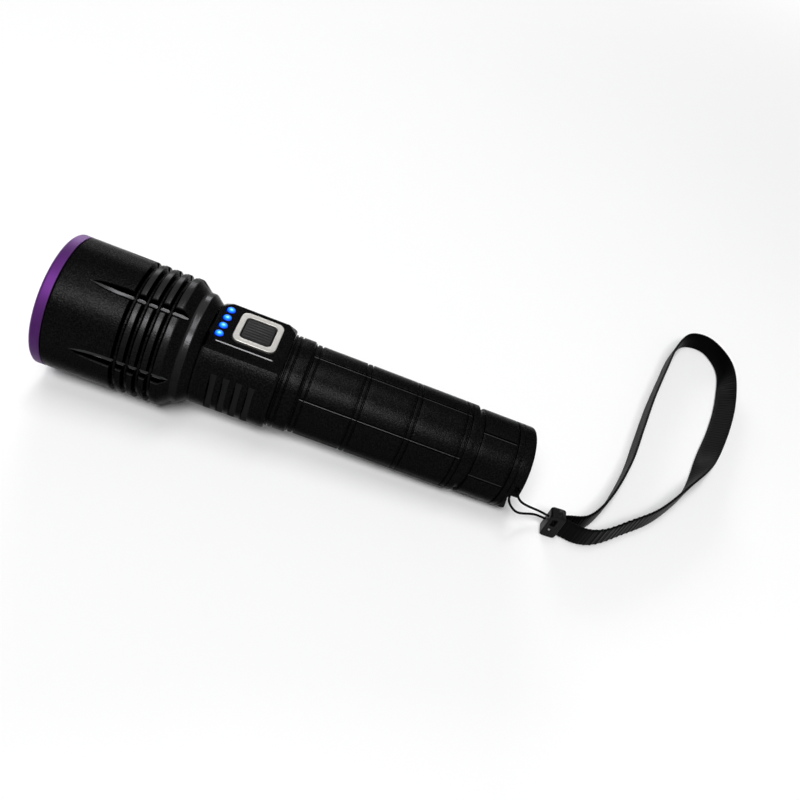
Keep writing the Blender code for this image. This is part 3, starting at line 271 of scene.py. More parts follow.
RIPPLE_ENDS = (0.030, 0.050)
RIPPLE_LENGTH = 0.0028
RIPPLE_HEIGHT = 0.00010
STRING_RADIUS = 0.00045
STRING_LAY = 0.0022
STRING_STEP = 0.00015
STRING_LEAVES_CLIP = ((-0.0032, -0.0008, 0.0036), (-0.0072, -0.0014, 0.0052))
STRING_MEETS_CLIP = ((-0.0082, -0.0006, 0.0018), (-0.0032, 0.0002, 0.0006))

# The string's turn through the cap: millimetres beyond its end and from the axis, and degrees
STRING_AT_CAP = ((0.6, 18.5, 80.5), (-2.1, 15.2, 72.5), (-1.9, 11.8, 71.5), (-1.7, 10.3, 78.4),
                 (-1.8, 11.0, 90.5), (-1.8, 15.3, 97.8), (1.7, 18.3, 99.0))

# Clip and rivet, in millimetres from the clip's centre
CLIP_HALF_X = 2.9
CLIP_HALF_Y = 2.3
CLIP_HALF_Z = 6.0
CLIP_CORNER = 1.2
CLIP_EYE = (1.0, 1.8, 0.3)
EYE_PLACE = (-0.7, 2.3)
NUB_X = 0.7
NUB_FOOT = 4.8
NUB_HEIGHT = 0.7
NUB_SPREAD_X = 0.7
NUB_SPREAD_Y = 1.3
RIVET_HOLE = 0.75
RIVET_PLACE = (-0.7, -1.9)
RIVET_RADIUS = 0.6
RIVET_DOME = 0.5
RIVET_HALF = 2.5

# Camera in the torch's millimetres and axes, and its lens
CAMERA_PLACE = (87.0, -194.1, 194.1)
CAMERA_RIGHT = (0.92944, 0.15859, 0.33315)
CAMERA_UP = (-0.34858, 0.67343, 0.65190)
CAMERA_LENS = 34.765

# Table and where it turns white, in metres, and the soft lamps: place, aim, width, height and power
TABLE_HALF = 6.0
WHITE_FROM = 0.4
WHITE_BEYOND = 1.2
LAMPS = {
    "key": ((-0.25, -1.30, 1.98), (0.05, 0.02, 0.02), 1.5, 0.6, 45.0),
    "top": ((-0.10, 0.06, 2.00), (0.00, 0.02, 0.02), 1.3, 0.35, 11.0),
    "back": ((-0.50, 2.10, 0.60), (0.05, 0.02, 0.02), 1.0, 0.6, 18.0),
}


# Grids and lines

def eased(corners, cuts, steps=4, closed=False):
    """Line through corners, each replaced by the quadratic curve (1-s)^2 a + 2 s (1-s) corner + s^2 b,
    where a and b lie one cut away from the corner on its two sides."""
    corners = np.asarray(corners, float)
    cuts = np.broadcast_to(np.asarray(cuts, float), len(corners)).copy()
    if not closed:
        cuts[[0, -1]] = 0
    towards = [np.roll(corners, shift, axis=0) - corners for shift in (1, -1)]
    a, b = (corners + cuts[:, None] * run / np.linalg.norm(run, axis=1, keepdims=True) for run in towards)
    s = np.linspace(0, 1, steps + 1)[None, :, None]
    points = (1 - s) ** 2 * a[:, None] + 2 * s * (1 - s) * corners[:, None] + s ** 2 * b[:, None]
    points = points.reshape(-1, corners.shape[1])
    apart = np.linalg.norm(np.diff(points, axis=0), axis=1) > 1e-6
    return points[np.append(True, apart)]


def refined(line, step):
    """The same line with points added so that no run is longer than step."""
    runs = np.linalg.norm(np.diff(line, axis=0), axis=1)
    reach = np.append(0, np.cumsum(runs))
    counts = np.maximum(1, np.ceil(runs / step)).astype(int)
    share = [np.linspace(a, b, count, endpoint=False) for a, b, count in zip(reach, reach[1:], counts)]
    at = np.append(np.concatenate(share), reach[-1])
    return np.stack([np.interp(at, reach, column) for column in line.T], axis=1)


def rounded_outline(half_x, half_y, corner, arc=6, side=1):
    """Outline of a rounded rectangle: corner centres plus the corner radius times the outward
    normal; each quarter is an arc and then a straight run of side steps."""
    turn = np.append(np.linspace(0, 1, arc + 1), np.ones(side - 1))
    run = np.append(np.zeros(arc + 1), np.arange(1, side) / side)
    angle = (np.arange(4)[:, None] + turn) * np.pi / 2
    signs = np.array([[1, 1], [-1, 1], [-1, -1], [1, -1]])
    centre = signs[:, None] + run[None, :, None] * (np.roll(signs, -1, axis=0) - signs)[:, None]
    normal = np.stack([np.cos(angle), np.sin(angle)], axis=-1)
    half = np.array([half_x, half_y])
    return (centre * np.maximum(half - corner, 0) + np.minimum(corner, half) * normal).reshape(-1, 2)


def between(one, two, shares):
    """Points at given shares of the way from each row's point in one to its point in two."""
    share = np.array(shares)[None, :, None]
    return one[:, None] * (1 - share) + two[:, None] * share


def spread(count, pitch):
    """Places of that many copies, a pitch apart and centred on zero."""
    return (np.arange(count) - (count - 1) / 2) * pitch


def placed(points):
    """Frame places of points given in the torch's millimetres along, across and up."""
    return LENS_END + MM * (np.asarray(points, float) @ AXES)


def polar(x, angle, radius):
    """Frame places of points given by station, angle from the switch and radius."""
    x, angle, radius = np.broadcast_arrays(x, angle, radius)
    return placed(np.stack([x, -radius * np.sin(angle), radius * np.cos(angle)], axis=-1))


def turned(line, columns=AROUND):
    """Surface of revolution: the line of stations and radii carried round the torch's axis."""
    angle = np.linspace(0, 2 * np.pi, columns, endpoint=False)
    return polar(line[:, :1], angle, line[:, 1:])


def slotted(line, floor_radius, flat, softness, slope, start, sectors=6):
    """Turned surface with lengthwise slots. At a sideways distance w beyond the flat half of a slot's floor
    the radius is floor radius + (sqrt(w^2 + softness^2) - softness) / slope, a rounding that opens into
    straight flanks, and never more than the line's own radius. The grid's lengthwise lines follow the
    slot's edges, where the two radii are equal. The last two values are 1 on the smooth floor and on the
    flanks, which are painted black as shade in the slot."""
    x, radius = line.T[:, :, None]
    floor_radius, flat, softness = floor_radius[:, None], flat[:, None], softness[:, None]
    height = np.maximum(radius - floor_radius, 0)
    half_sector = np.pi / sectors
    least = half_sector / 60
    half_width = flat * (height > 0) + np.sqrt((softness + slope * height) ** 2 - softness ** 2)
    edge = np.arcsin(np.clip(half_width / np.maximum(radius, 1), np.sin(least), 0.4))
    inside = edge * np.array([0.13, 0.25, 0.32, 0.40, 0.55, 0.78, 1.0])
    outside = edge + (half_sector - edge) * np.array([0.012, 0.04, 0.1, 0.2, 0.33, 0.5, 0.68, 0.85, 1.0])
    side = np.hstack([inside, outside])
    sector = np.hstack([-side[:, ::-1], np.zeros_like(edge), side[:, :-1]])
    sideways = np.maximum(np.abs(radius * np.sin(sector)) - flat, 0)
    floor = floor_radius + (np.sqrt(sideways ** 2 + softness ** 2) - softness) / slope
    in_slot = (height > 0) & (np.abs(sector) < edge)
    shaped = np.where(in_slot, np.minimum(radius, floor), radius)
    smooth = in_slot & (np.abs(sector) < 0.36 * edge)
    # The flanks are painted black, as shade that falls into the slot
    painted_shade = in_slot & ~smooth
    turns = start + 2 * half_sector * np.arange(sectors)
    angle = (turns[None, :, None] + sector[:, None, :]).reshape(len(line), -1)
    return x, angle, *(np.tile(values, (1, sectors)) for values in (shaped, smooth, painted_shade))


def cut_marks(smooth, painted_shade=0):
    """Mark for a new piece: how smooth each point of a cut is, and how much painted shade lies on it, both
    from 0 to 1.
    """
    return {"cut": np.stack(np.broadcast_arrays(smooth, painted_shade, 0), axis=-1)}


def prism(low, high):
    """Closed rows between two outlines of equally many points, with a middle point on each end."""
    middles = [np.broadcast_to(outline.mean(0), outline.shape) for outline in (low, high)]
    return np.stack([middles[0], low, high, middles[1]])


def level(outline, height, x=0.0, y=0.0):
    """Lift an outline of the torch's X and Y to a height above its axis."""
    return placed(np.column_stack([outline[:, 0] + x, outline[:, 1] + y, np.full(len(outline), height)]))


def grid_mesh(name, grids, closed, marks=()):
    """Mesh of one or more grids of points (rows, columns, xyz): quads between neighbours, closed round
    the columns and, if closed, round the rows. Rows that shrink to a point are welded there. A grid
    that would be inside out has its quads turned round. Marks are named values for each point."""
    points, faces, first = [], [], 0
    for grid in grids:
        rows, columns = grid.shape[:2]
        row = np.arange(rows if closed else rows - 1)[:, None]
        column = np.arange(columns)[None, :]
        near, far = row * columns, (row + 1) % rows * columns
        after = (column + 1) % columns
        quads = np.stack([near + column, near + after, far + after, far + column], axis=-1).reshape(-1, 4)
        flat = grid.reshape(-1, 3)
        a, b, c, d = ((flat - flat.mean(0))[quads[:, k]] for k in range(4))
        if np.sum(a * np.cross(b, c) + a * np.cross(c, d)) < 0:
            quads = quads[:, ::-1]
        points.append(flat)
        faces.append(quads + first)
        first += len(flat)
    mesh = bpy.data.meshes.new(name)
    mesh.from_pydata(np.vstack(points).tolist(), [], np.vstack(faces).tolist())
    for mark, values in dict(marks).items():
        layer = mesh.attributes.new(mark, "FLOAT_VECTOR", "POINT")
        layer.data.foreach_set("vector", np.asarray(values, np.float32).ravel())
    bm = bmesh.new()
    bm.from_mesh(mesh)
    bmesh.ops.remove_doubles(bm, verts=bm.verts, dist=WELD)
    bm.to_mesh(mesh)
    bm.free()
    return mesh


def shade(mesh):
    """Smooth faces, with an edge kept sharp where two faces meet at more than the sharp angle."""
    mesh.shade_smooth()
    mesh.set_sharp_from_angle(angle=SHARP_ANGLE)


def new_piece(name, grids, closed=True, marks=()):
    """A shown object at the origin, with its place in its mesh."""
    mesh = grid_mesh(name, grids, closed, marks)
    shade(mesh)
    piece = bpy.data.objects.new(name, mesh)
    bpy.context.scene.collection.objects.link(piece)
    return piece


def cut(piece, grids):
    """Take closed shapes away from a piece with one exact Boolean, and keep the result as its mesh."""
    tool = new_piece("cutter", grids, closed=False)
    modifier = piece.modifiers.new("cut", "BOOLEAN")
    modifier.solver = "EXACT"
    modifier.object = tool
    whole = piece.evaluated_get(bpy.context.evaluated_depsgraph_get())
    mesh = bpy.data.meshes.new_from_object(whole)
    piece.modifiers.clear()
    piece.data = mesh
    bpy.data.objects.remove(tool)
    shade(mesh)


def dress(piece, body, slot, *nodes):
    """Give a piece its finish, its body and the nodes that it stands for."""
    piece.data.materials.clear()
    piece.data.materials.append(FINISHES[slot])
    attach(piece, body)
    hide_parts(*nodes)
    return piece


# Finishes

# Distance between the bands of a wave texture whose scale is 1
WAVE_BANDS = 2 * np.pi / 20


def colour(code):
    """Linear colour of an sRGB hex code."""
    channels = np.array([int(code[k:k + 2], 16) for k in (1, 3, 5)]) / 255
    linear = np.where(channels <= 0.04045, channels / 12.92, ((channels + 0.055) / 1.055) ** 2.4)
    return (*linear.tolist(), 1.0)


def add(tree, kind, inputs=(), **settings):
    """Add a node, set its settings, and fill its inputs: a socket is linked and a value is set."""
    node = tree.nodes.new("ShaderNode" + kind)
    for key, value in settings.items():
        setattr(node, key, value)
    for key, value in dict(inputs).items():
        if isinstance(value, bpy.types.NodeSocket):
            tree.links.new(value, node.inputs[key])
        else:
            node.inputs[key].default_value = value
    return node


def set_stops(node, stops):
    """Fill a colour ramp with stops of position and sRGB hex code."""
    ramp = node.color_ramp.elements
    while len(ramp) < len(stops):
        ramp.new(1.0)
    for element, (position, code) in zip(ramp, stops):
        element.position = position
        element.color = colour(code)


def per_mm(size):
    """Noise scale in the frame's metres for a feature of that many millimetres."""
    return 1 / (size * MM)


def new_finish(name, inputs):
    """A material with one Principled shader, whose plain values are set on its sockets."""
    material = bpy.data.materials.new(name)
    material.use_nodes = True
    tree = material.node_tree
    tree.nodes.clear()
    shader = add(tree, "BsdfPrincipled", inputs)
    add(tree, "OutputMaterial", {"Surface": shader.outputs[0]})
    return material, tree, shader


def grained(name, dark, light, rough, metallic, grain, bump, specular=0.5, patch=6.0):
    """A finish of two close colours in soft patches, over a fine grain that also moves the gloss.
    Grain and patch are feature sizes in millimetres, bump is the grain's height in micrometres."""
    material, tree, shader = new_finish(name, {"Metallic": metallic, "Specular IOR Level": specular})
    place = add(tree, "TexCoord").outputs["Object"]
    cloud = add(tree, "TexNoise", {"Vector": place, "Scale": per_mm(patch), "Detail": 3.0})
    tone = add(tree, "Mix", {0: cloud.outputs["Fac"], 6: colour(dark), 7: colour(light)}, data_type="RGBA")
    grit = add(tree, "TexNoise", {"Vector": place, "Scale": per_mm(grain), "Detail": 2.0})
    gloss = add(tree, "MapRange", {"Value": grit.outputs["Fac"], "To Min": rough[0], "To Max": rough[1]})
    relief = add(tree, "Bump", {"Height": grit.outputs["Fac"], "Strength": 1.0, "Distance": bump * 1e-6})
    tree.links.new(tone.outputs[2], shader.inputs["Base Color"])
    tree.links.new(gloss.outputs[0], shader.inputs["Roughness"])
    tree.links.new(relief.outputs[0], shader.inputs["Normal"])
    return material, tree, shader


def black_anodised():
    """Aluminium, bead blasted and anodised black: a satin surface with a fine sparkle in its highlight.
    Edges are rubbed a little paler. Floors of cuts are smooth and glint like dark metal, and their flanks
    are painted black as shade in the cut. The 0.1 mm blast marks are drawn at 0.45 mm to show."""
    material, tree, shader = grained("bead_blasted_black_anodised_aluminium", "#070707", "#090909",
                                     (0.20, 0.33), 1.0, 0.45, 80, patch=9.0)
    # The dye drinks the light that grazes the surface, so its edges stay dark
    shader.inputs["Specular Tint"].default_value = colour("#bcbcbc")
    tone, gloss, relief = (shader.inputs[socket].links[0].from_node
                           for socket in ("Base Color", "Roughness", "Normal"))
    grit = relief.inputs["Height"].links[0].from_socket
    lit = add(tree, "MapRange", {"Value": grit, "From Min": 0.38, "From Max": 0.66}).outputs[0]
    curve = add(tree, "NewGeometry").outputs["Pointiness"]
    edge = add(tree, "MapRange", {"Value": curve, "From Min": 0.52, "From Max": 0.62,
                                  "To Max": 0.6}).outputs[0]
    mark = add(tree, "Attribute", attribute_name="cut").outputs["Vector"]
    smooth, painted_shade = add(tree, "SeparateXYZ", {"Vector": mark}).outputs[:2]
    # Each tone lies over the last: sparkle, rubbed edges, smooth floors, and black painted shade on the
    # flanks of cuts
    coat = tone.outputs[2]
    for share, code in ((lit, "#131313"), (edge, "#1d1d1e"), (smooth, "#343435"), (painted_shade, "#000000")):
        coat = add(tree, "Mix", {0: share, 6: coat, 7: colour(code)}, data_type="RGBA").outputs[2]
    bare = add(tree, "Math", {0: smooth, 1: painted_shade}, operation="MAXIMUM").outputs[0]
    satin = add(tree, "Mix", {0: bare, 2: gloss.outputs[0], 3: 0.22})
    blasted = add(tree, "MapRange", {"Value": bare, "To Min": 1.0, "To Max": 0.0})
    tree.links.new(coat, shader.inputs["Base Color"])
    tree.links.new(satin.outputs[0], shader.inputs["Roughness"])
    tree.links.new(blasted.outputs[0], relief.inputs["Strength"])
    return material


def purple_anodised():
    """Aluminium, turned and dyed purple: a coloured satin metal, with tool lines round the ring.
    The 0.05 mm tool lines are drawn 1.57 mm apart to show."""
    material, tree, shader = new_finish("turned_purple_anodised_aluminium", {
        "Metallic": 1.0, "Roughness": 0.52})
    place = add(tree, "TexCoord").outputs["Object"]
    tilt = float(np.arctan2(-ALONG[2], ALONG[0]))
    axis = add(tree, "Mapping", {"Vector": place, "Rotation": (0.0, -tilt, 0.0)})
    lines = add(tree, "TexWave", {"Vector": axis.outputs[0], "Scale": per_mm(1.5708) * WAVE_BANDS,
                                  "Distortion": 0.4}, bands_direction="X")
    relief = add(tree, "Bump", {"Height": lines.outputs["Fac"], "Strength": 0.6, "Distance": 4e-6})
    cloud = add(tree, "TexNoise", {"Vector": place, "Scale": per_mm(7.0)})
    tone = add(tree, "Mix", {0: cloud.outputs["Fac"], 6: colour("#411e54"), 7: colour("#4a245d")},
               data_type="RGBA")
    tree.links.new(tone.outputs[2], shader.inputs["Base Color"])
    tree.links.new(relief.outputs[0], shader.inputs["Normal"])
    return material


def blue_indicator():
    """Lit indicator: a clear blue lens that is nearly white over its diode and deep blue at its rim."""
    material, tree, shader = new_finish("lit_blue_polycarbonate", {
        "Base Color": colour("#0a2a90"), "Roughness": 0.18, "Specular IOR Level": 0.1,
        "Emission Strength": 1.6})
    spot = add(tree, "Attribute", attribute_name="core")
    share = add(tree, "SeparateXYZ", {"Vector": spot.outputs["Vector"]}).outputs["X"]
    glow = add(tree, "ValToRGB", {"Fac": share})
    set_stops(glow, ((0.0, "#d2f6ff"), (0.30, "#4cbeff"), (0.62, "#0c82f6"), (1.0, "#0638e0")))
    tree.links.new(glow.outputs["Color"], shader.inputs["Emission Color"])
    return material


def nylon_webbing():
    """Woven black nylon: ribs across the band, with fine yarns that catch a low sheen.
    The 0.35 mm yarns across the band are drawn 2.2 mm apart to show. The ribs are in the mesh."""
    material, tree, shader = new_finish("woven_black_nylon", {
        "Roughness": 0.40, "Specular IOR Level": 0.022})
    place = add(tree, "Attribute", attribute_name="weave").outputs["Vector"]
    yarn = add(tree, "TexWave", {"Vector": place, "Scale": per_mm(2.1991) * WAVE_BANDS, "Distortion": 1.2,
                                 "Detail": 2.0, "Detail Scale": 1.5}, bands_direction="X")
    fuzz = add(tree, "TexNoise", {"Vector": place, "Scale": per_mm(0.5), "Detail": 3.0})
    tone = add(tree, "Mix", {0: fuzz.outputs["Fac"], 6: colour("#010101"), 7: colour("#050506")},
               data_type="RGBA")
    relief = add(tree, "Bump", {"Height": yarn.outputs["Fac"], "Strength": 0.7, "Distance": 6e-5})
    tree.links.new(tone.outputs[2], shader.inputs["Base Color"])
    tree.links.new(relief.outputs[0], shader.inputs["Normal"])
    return material


def lens_glass():
    """Tempered glass: clear, with a faint violet cast and slight smears."""
    material, tree, shader = new_finish("coated_lens_glass", {
        "Base Color": colour("#faf8fe"), "Transmission Weight": 1.0, "IOR": 1.5})
    place = add(tree, "TexCoord").outputs["Object"]
    smear = add(tree, "TexNoise", {"Vector": place, "Scale": per_mm(9.0), "Detail": 4.0})
    gloss = add(tree, "MapRange", {"Value": smear.outputs["Fac"], "To Min": 0.0, "To Max": 0.05})
    tree.links.new(gloss.outputs[0], shader.inputs["Roughness"])
    return material


# Name, dark and light tone, gloss range, metal, grain size, grain height and, for two, a low reflection
PLAIN_FINISHES = {
    # Vacuum coated aluminium: a mirror with a slight orange peel
    "reflector_mirror": ("orange_peel_aluminium_mirror", "#e4e4e8", "#f2f2f4", (0.03, 0.08), 1.0, 1.6, 14),
    # Moulded black silicone rubber: dull, with a fine grain
    "rubber": ("moulded_black_silicone", "#0e0e0f", "#161617", (0.55, 0.75), 0.0, 0.30, 10),
    # Moulded white nylon: a soft off-white with a faint flow pattern
    "white_nylon": ("moulded_white_nylon", "#dcdad2", "#ebe9e2", (0.40, 0.55), 0.0, 0.60, 6),
    # Silicone dome over the die: pale straw, with a wet gloss
    "emitter": ("silicone_emitter_dome", "#b9b08a", "#d8d2b4", (0.05, 0.15), 0.0, 0.80, 3),
    # Copper core board, left bare: a warm red metal
    "copper_board": ("copper_core_board", "#a8613c", "#c27a50", (0.28, 0.42), 1.0, 0.40, 5),
    # Machined bare aluminium: bright grey with fine tool marks
    "bare_aluminium": ("machined_aluminium", "#a4a5a8", "#bcbdc0", (0.28, 0.42), 1.0, 0.35, 8),
    # Bead blasted, plated frame: warm silver with a soft grain
    "silver_frame": ("bead_blasted_silver_plate", "#9d9b97", "#b2b0ac", (0.30, 0.48), 0.9, 0.35, 20),
    # Moulded button: black plastic with a fine spark-eroded grain
    "button_plastic": ("spark_eroded_black_plastic", "#060607", "#0b0b0d", (0.40, 0.55), 0.0, 0.35, 14,
                       0.12),
    # Glass fibre board under green mask
    "circuit_board": ("green_mask_fibre_board", "#0f4a26", "#17603a", (0.30, 0.45), 0.0, 0.50, 4),
    # Nickel plated steel: a slightly smoky grey metal
    "plated_steel": ("nickel_plated_steel", "#7c7a77", "#92908c", (0.20, 0.32), 1.0, 0.40, 4),
    # Turned brass: warm yellow
    "brass": ("turned_brass", "#b08d47", "#c4a25a", (0.20, 0.34), 1.0, 0.40, 5),
    # Shrunk film round the cell: blue with slight ripples
    "cell_wrap": ("shrunk_blue_film", "#1c4a7c", "#27609a", (0.22, 0.36), 0.0, 1.20, 12),
    # Moulded clip: black plastic, a little glossier than the strap
    "clip_plastic": ("moulded_black_acetal", "#030304", "#070708", (0.26, 0.38), 0.0, 0.35, 9, 0.08),
}


# Pieces of the head

def make_bezel():
    """Turned ring with a front chamfer, a lip over the lens and a skirt that screws into the head."""
    line = eased([(0, BEZEL_OPENING), (0, HEAD_RADIUS - BEZEL_CHAMFER), (BEZEL_CHAMFER, HEAD_RADIUS),
                  (BEZEL_LENGTH, HEAD_RADIUS), (BEZEL_LENGTH, SKIRT_RADIUS), (SKIRT_END, SKIRT_RADIUS),
                  (SKIRT_END, SKIRT_BORE), (BEZEL_LIP_BACK, SKIRT_BORE), (BEZEL_LIP_BACK, BEZEL_LIP)],
                 (0.3, 0.2, 0.25, 0.3, 0.1, 0.1, 0, 0, 0.1), closed=True)
    dress(new_piece("bezel", [turned(refined(line, 0.8))]), "torch", "purple_anodised", "bezel_ring")


def head_line():
    """Outside of the head from its front to its end, with its corners eased, and its inside back again."""
    floor = HEAD_RADIUS - RIB_DEPTH
    corners = [(HEAD_FRONT, HEAD_MOUTH + HEAD_MOUTH_CHAMFER), (HEAD_FRONT, HEAD_RADIUS)]
    cuts = [0, 0.3]
    for index in range(RIB_GROOVE_COUNT):
        start = RIBS_FRONT + index * RIB_PITCH
        end = start + RIB_GROOVE_WIDTH
        corners += [(start, HEAD_RADIUS), (start + RIB_WALL_RUN, floor), (end - RIB_WALL_RUN, floor),
                    (end, HEAD_RADIUS)]
        cuts += [0.28, 0.5, 0.5, 0.28]
    corners += [(CREST_END, HEAD_RADIUS), (SHOULDER_END, NECK_RADIUS), (NECK_END, NECK_RADIUS),
                (HEAD_END, HEAD_END_RADIUS)]
    cuts += [0.5, 0.35, 0.3, 0]
    outside = refined(eased(corners, cuts, steps=5), 0.45)
    inside = np.array([(HEAD_END, NECK_BORE), (CHAMBER_END, NECK_BORE), (CHAMBER_END, CHAMBER_RADIUS),
                       (HEAD_THREAD_END, CHAMBER_RADIUS), (HEAD_THREAD_END, HEAD_MOUTH),
                       (HEAD_FRONT, HEAD_MOUTH)])
    return outside, inside


def make_head():
    """Barrel with rib grooves, a shoulder and a neck, cut by six flat-floored slots. From its tip on, a
    slot is 1 - (1 - s)^2 of its full depth at share s of its ramp."""
    outside, inside = head_line()
    line = np.vstack([outside, inside])
    x, radius = line.T[:, :, None]
    ramp = np.clip((line[:, 0] - SLOT_TIP) / SLOT_RAMP, 0, 1)
    depth = SLOT_DEPTH * (1 - (1 - ramp) ** 2)
    depth[len(outside):] = 0
    opened = np.clip(depth / SLOT_OPEN_DEPTH, 0.1, 1)
    *surface, smooth, painted_shade = slotted(line, HEAD_RADIUS - depth, SLOT_FLOOR * opened, SLOT_SOFTNESS * opened,
                                     SLOT_SLOPE, SLOT_ANGLE)
    # Use rubs the rib crests and the neck smooth; the extra share on the switch's side, which faces the
    # light, is a painted highlight
    switch_side = np.clip(np.cos(surface[1]), 0, 1) ** 2
    neck = (x > SHOULDER_END - 0.3) & (x < NECK_END + 0.1) & (radius > NECK_RADIUS - 1)
    crest = (x > RIBS_FRONT + 1) & (x < CREST_END + 0.3) & (radius > HEAD_RADIUS - 0.15)
    rub_and_highlight = neck * (NECK_RUB + NECK_RUB_AND_HIGHLIGHT * switch_side) + CREST_RUB_AND_HIGHLIGHT * crest * switch_side
    marks = cut_marks(np.where(smooth, 1.0, rub_and_highlight), painted_shade)
    dress(new_piece("ribbed_head", [polar(*surface)], marks=marks), "torch", "black_anodised", "head_shell")


def make_optics():
    """Lens, parabolic reflector and the dome of the emitter. The square of the reflector's radius falls
    evenly from its mouth to its throat."""
    lens = eased([(LENS_FRONT, 0), (LENS_FRONT, LENS_RADIUS), (LENS_BACK, LENS_RADIUS), (LENS_BACK, 0)],
                 0.25)
    piece = new_piece("front_lens", [turned(refined(lens, 3.0))], closed=False)
    dress(piece, "torch", "lens_glass", "lens")
    station = np.linspace(BOWL_FRONT, BOWL_END, 40)
    squared = np.interp(station, (BOWL_FRONT, BOWL_END), (BOWL_MOUTH ** 2, BOWL_THROAT ** 2))
    bowl = np.column_stack([station, np.sqrt(squared)])
    piece = new_piece("reflector_bowl", [turned(np.vstack([bowl, BOWL_BACK]))])
    dress(piece, "torch", "reflector_mirror", "reflector")
    angle = np.linspace(0, np.pi / 2, 16)
    dome = np.column_stack([DOME_BASE - DOME_HEIGHT * np.sin(angle), DOME_RADIUS * np.cos(angle)])
    dome[-1, 1] = 0
    line = np.vstack([[(DOME_FOOT, 0), (DOME_FOOT, DOME_RADIUS)], dome])
    dress(new_piece("emitter_dome", [turned(line, 48)], closed=False), "torch", "emitter", "uv_emitter")


# Switch section

def switch_rows():
    """Stations along the section, and how far the side fins are cut in at each of them."""
    corners = [(SWITCH_FRONT, 0)]
    cuts = [0]
    for middle in FIN_CENTRE + spread(FIN_COUNT, FIN_PITCH):
        low, high = middle - FIN_WIDTH / 2, middle + FIN_WIDTH / 2
        corners += [(low, 0), (low + FIN_WALL_RUN, FIN_DEPTH), (high - FIN_WALL_RUN, FIN_DEPTH), (high, 0)]
        cuts += [0.16, 0.3, 0.3, 0.16]
    corners.append((SWITCH_END, 0))
    return refined(eased(corners, cuts + [0]), 0.6)


def switch_section(x, depth):
    """Half of the cross-section at each station, from the top round to the bottom, as sideways and
    height: a flat pad, a chamfered edge, a corner facet that runs out towards the section's ends, a steep
    flank down to the cylinder, and the cylinder, cut flat at the side where there is a fin slot. With it
    comes how smooth each point is: the pad's long edges are, and in part the fin slots."""
    end = np.minimum(x - SWITCH_FRONT, SWITCH_END - x)
    full = np.clip(end / PAD_CORNER, 0, 1)[:, None]
    foot = np.array([PAD_FOOT, np.sqrt(SWITCH_RADIUS ** 2 - PAD_FOOT ** 2)])
    shoulder = np.array([PAD_HALF_WIDTH, PAD_HEIGHT])
    corner = np.array([PAD_HALF_WIDTH - PAD_CORNER, PAD_HEIGHT]) * (1 - full) + shoulder * full
    crease = foot * (1 - full) + shoulder * full
    run = np.where(full < 1, crease - corner, foot - shoulder)
    size = np.linalg.norm(run, axis=1, keepdims=True)
    run = run / size
    top_edge, flank_edge = corner - (PAD_EDGE_TOP, 0), corner + PAD_EDGE_FLANK * run
    crease = corner + run * np.maximum(np.where(full < 1, size, 0), PAD_EDGE_FLANK)
    middle = np.stack([np.zeros(len(x)), np.full(len(x), PAD_HEIGHT)], axis=1)
    pad = between(middle, top_edge, (0, 0.25, 0.5, 0.75, 0.9, 0.985))
    rim = between(top_edge, flank_edge, (0, 0.08, 0.5, 0.92, 1))
    facet = between(flank_edge, crease, (0.05, 0.5, 0.97))
    flank = between(crease, np.broadcast_to(foot, crease.shape), (0, 0.04, 0.5, 0.96))
    flat_side = SWITCH_RADIUS - FIN_DEPTH
    fin_half = np.degrees(np.arccos(flat_side / SWITCH_RADIUS))
    angle = np.concatenate([
        np.arctan2(*foot) + np.radians([0, 0.3, 2, 6, 12, 18]),
        np.radians(FIN_ANGLE - fin_half + np.array([-0.6, 0, 0.5])),
        np.radians(FIN_ANGLE + np.linspace(2 - fin_half, fin_half - 2, 19)),
        np.radians(FIN_ANGLE + fin_half + np.array([-0.5, 0, 0.6])),
        np.radians(np.linspace(FIN_ANGLE + 35, 180, 17))])
    facing = np.maximum(np.cos(angle - np.radians(FIN_ANGLE)), 0.1)
    hollow = np.maximum(SWITCH_RADIUS - flat_side / facing, 0)
    radius = SWITCH_RADIUS - hollow * (depth / FIN_DEPTH)[:, None]
    barrel = np.stack([radius * np.sin(angle), radius * np.cos(angle)], axis=-1)
    smooth = [np.zeros(pad.shape[:2]), np.where(full < 1, 0, (0, 1, 1, 1, 0)),
              np.zeros((len(x), facet.shape[1] + flank.shape[1])),
              FIN_SMOOTHNESS * (SWITCH_RADIUS - radius > 0.05)]
    return np.concatenate([pad, rim, facet, flank, barrel], axis=1), np.hstack(smooth)


def stepped_well(inner, outer, floor, step, mouth):
    """Closed rows of a well at the button's station: the inner outline from its floor to a step, and the
    outer outline from the step to the mouth."""
    rows = ((inner * 0, floor), (inner, floor), (inner, step),
            (outer, step), (outer, mouth), (outer * 0, mouth))
    return np.stack([level(outline, height, BUTTON_X) for outline, height in rows])


def switch_cutters():
    """Shapes that open the section: a stepped well for the button and its frame, another for the charging
    port and its cover, and a round hole for each indicator."""
    above = PAD_HEIGHT + 3
    below = -SWITCH_RADIUS - 2
    button = stepped_well(rounded_outline(*BUTTON_WELL), rounded_outline(*FRAME_POCKET),
                          BUTTON_WELL_FLOOR, FRAME_POCKET_FLOOR, above)
    port = stepped_well(rounded_outline(*PORT_HOLE), rounded_outline(*COVER_POCKET),
                        PORT_HOLE_TOP, COVER_POCKET_TOP, below)
    hole_radius = LED_RADIUS + LED_GAP
    hole = rounded_outline(hole_radius, hole_radius, hole_radius, arc=8)
    holes = [prism(level(hole, LED_HOLE_FLOOR, LED_X, y), level(hole, above, LED_X, y))
             for y in spread(LED_COUNT, LED_PITCH)]
    return [button, port] + holes


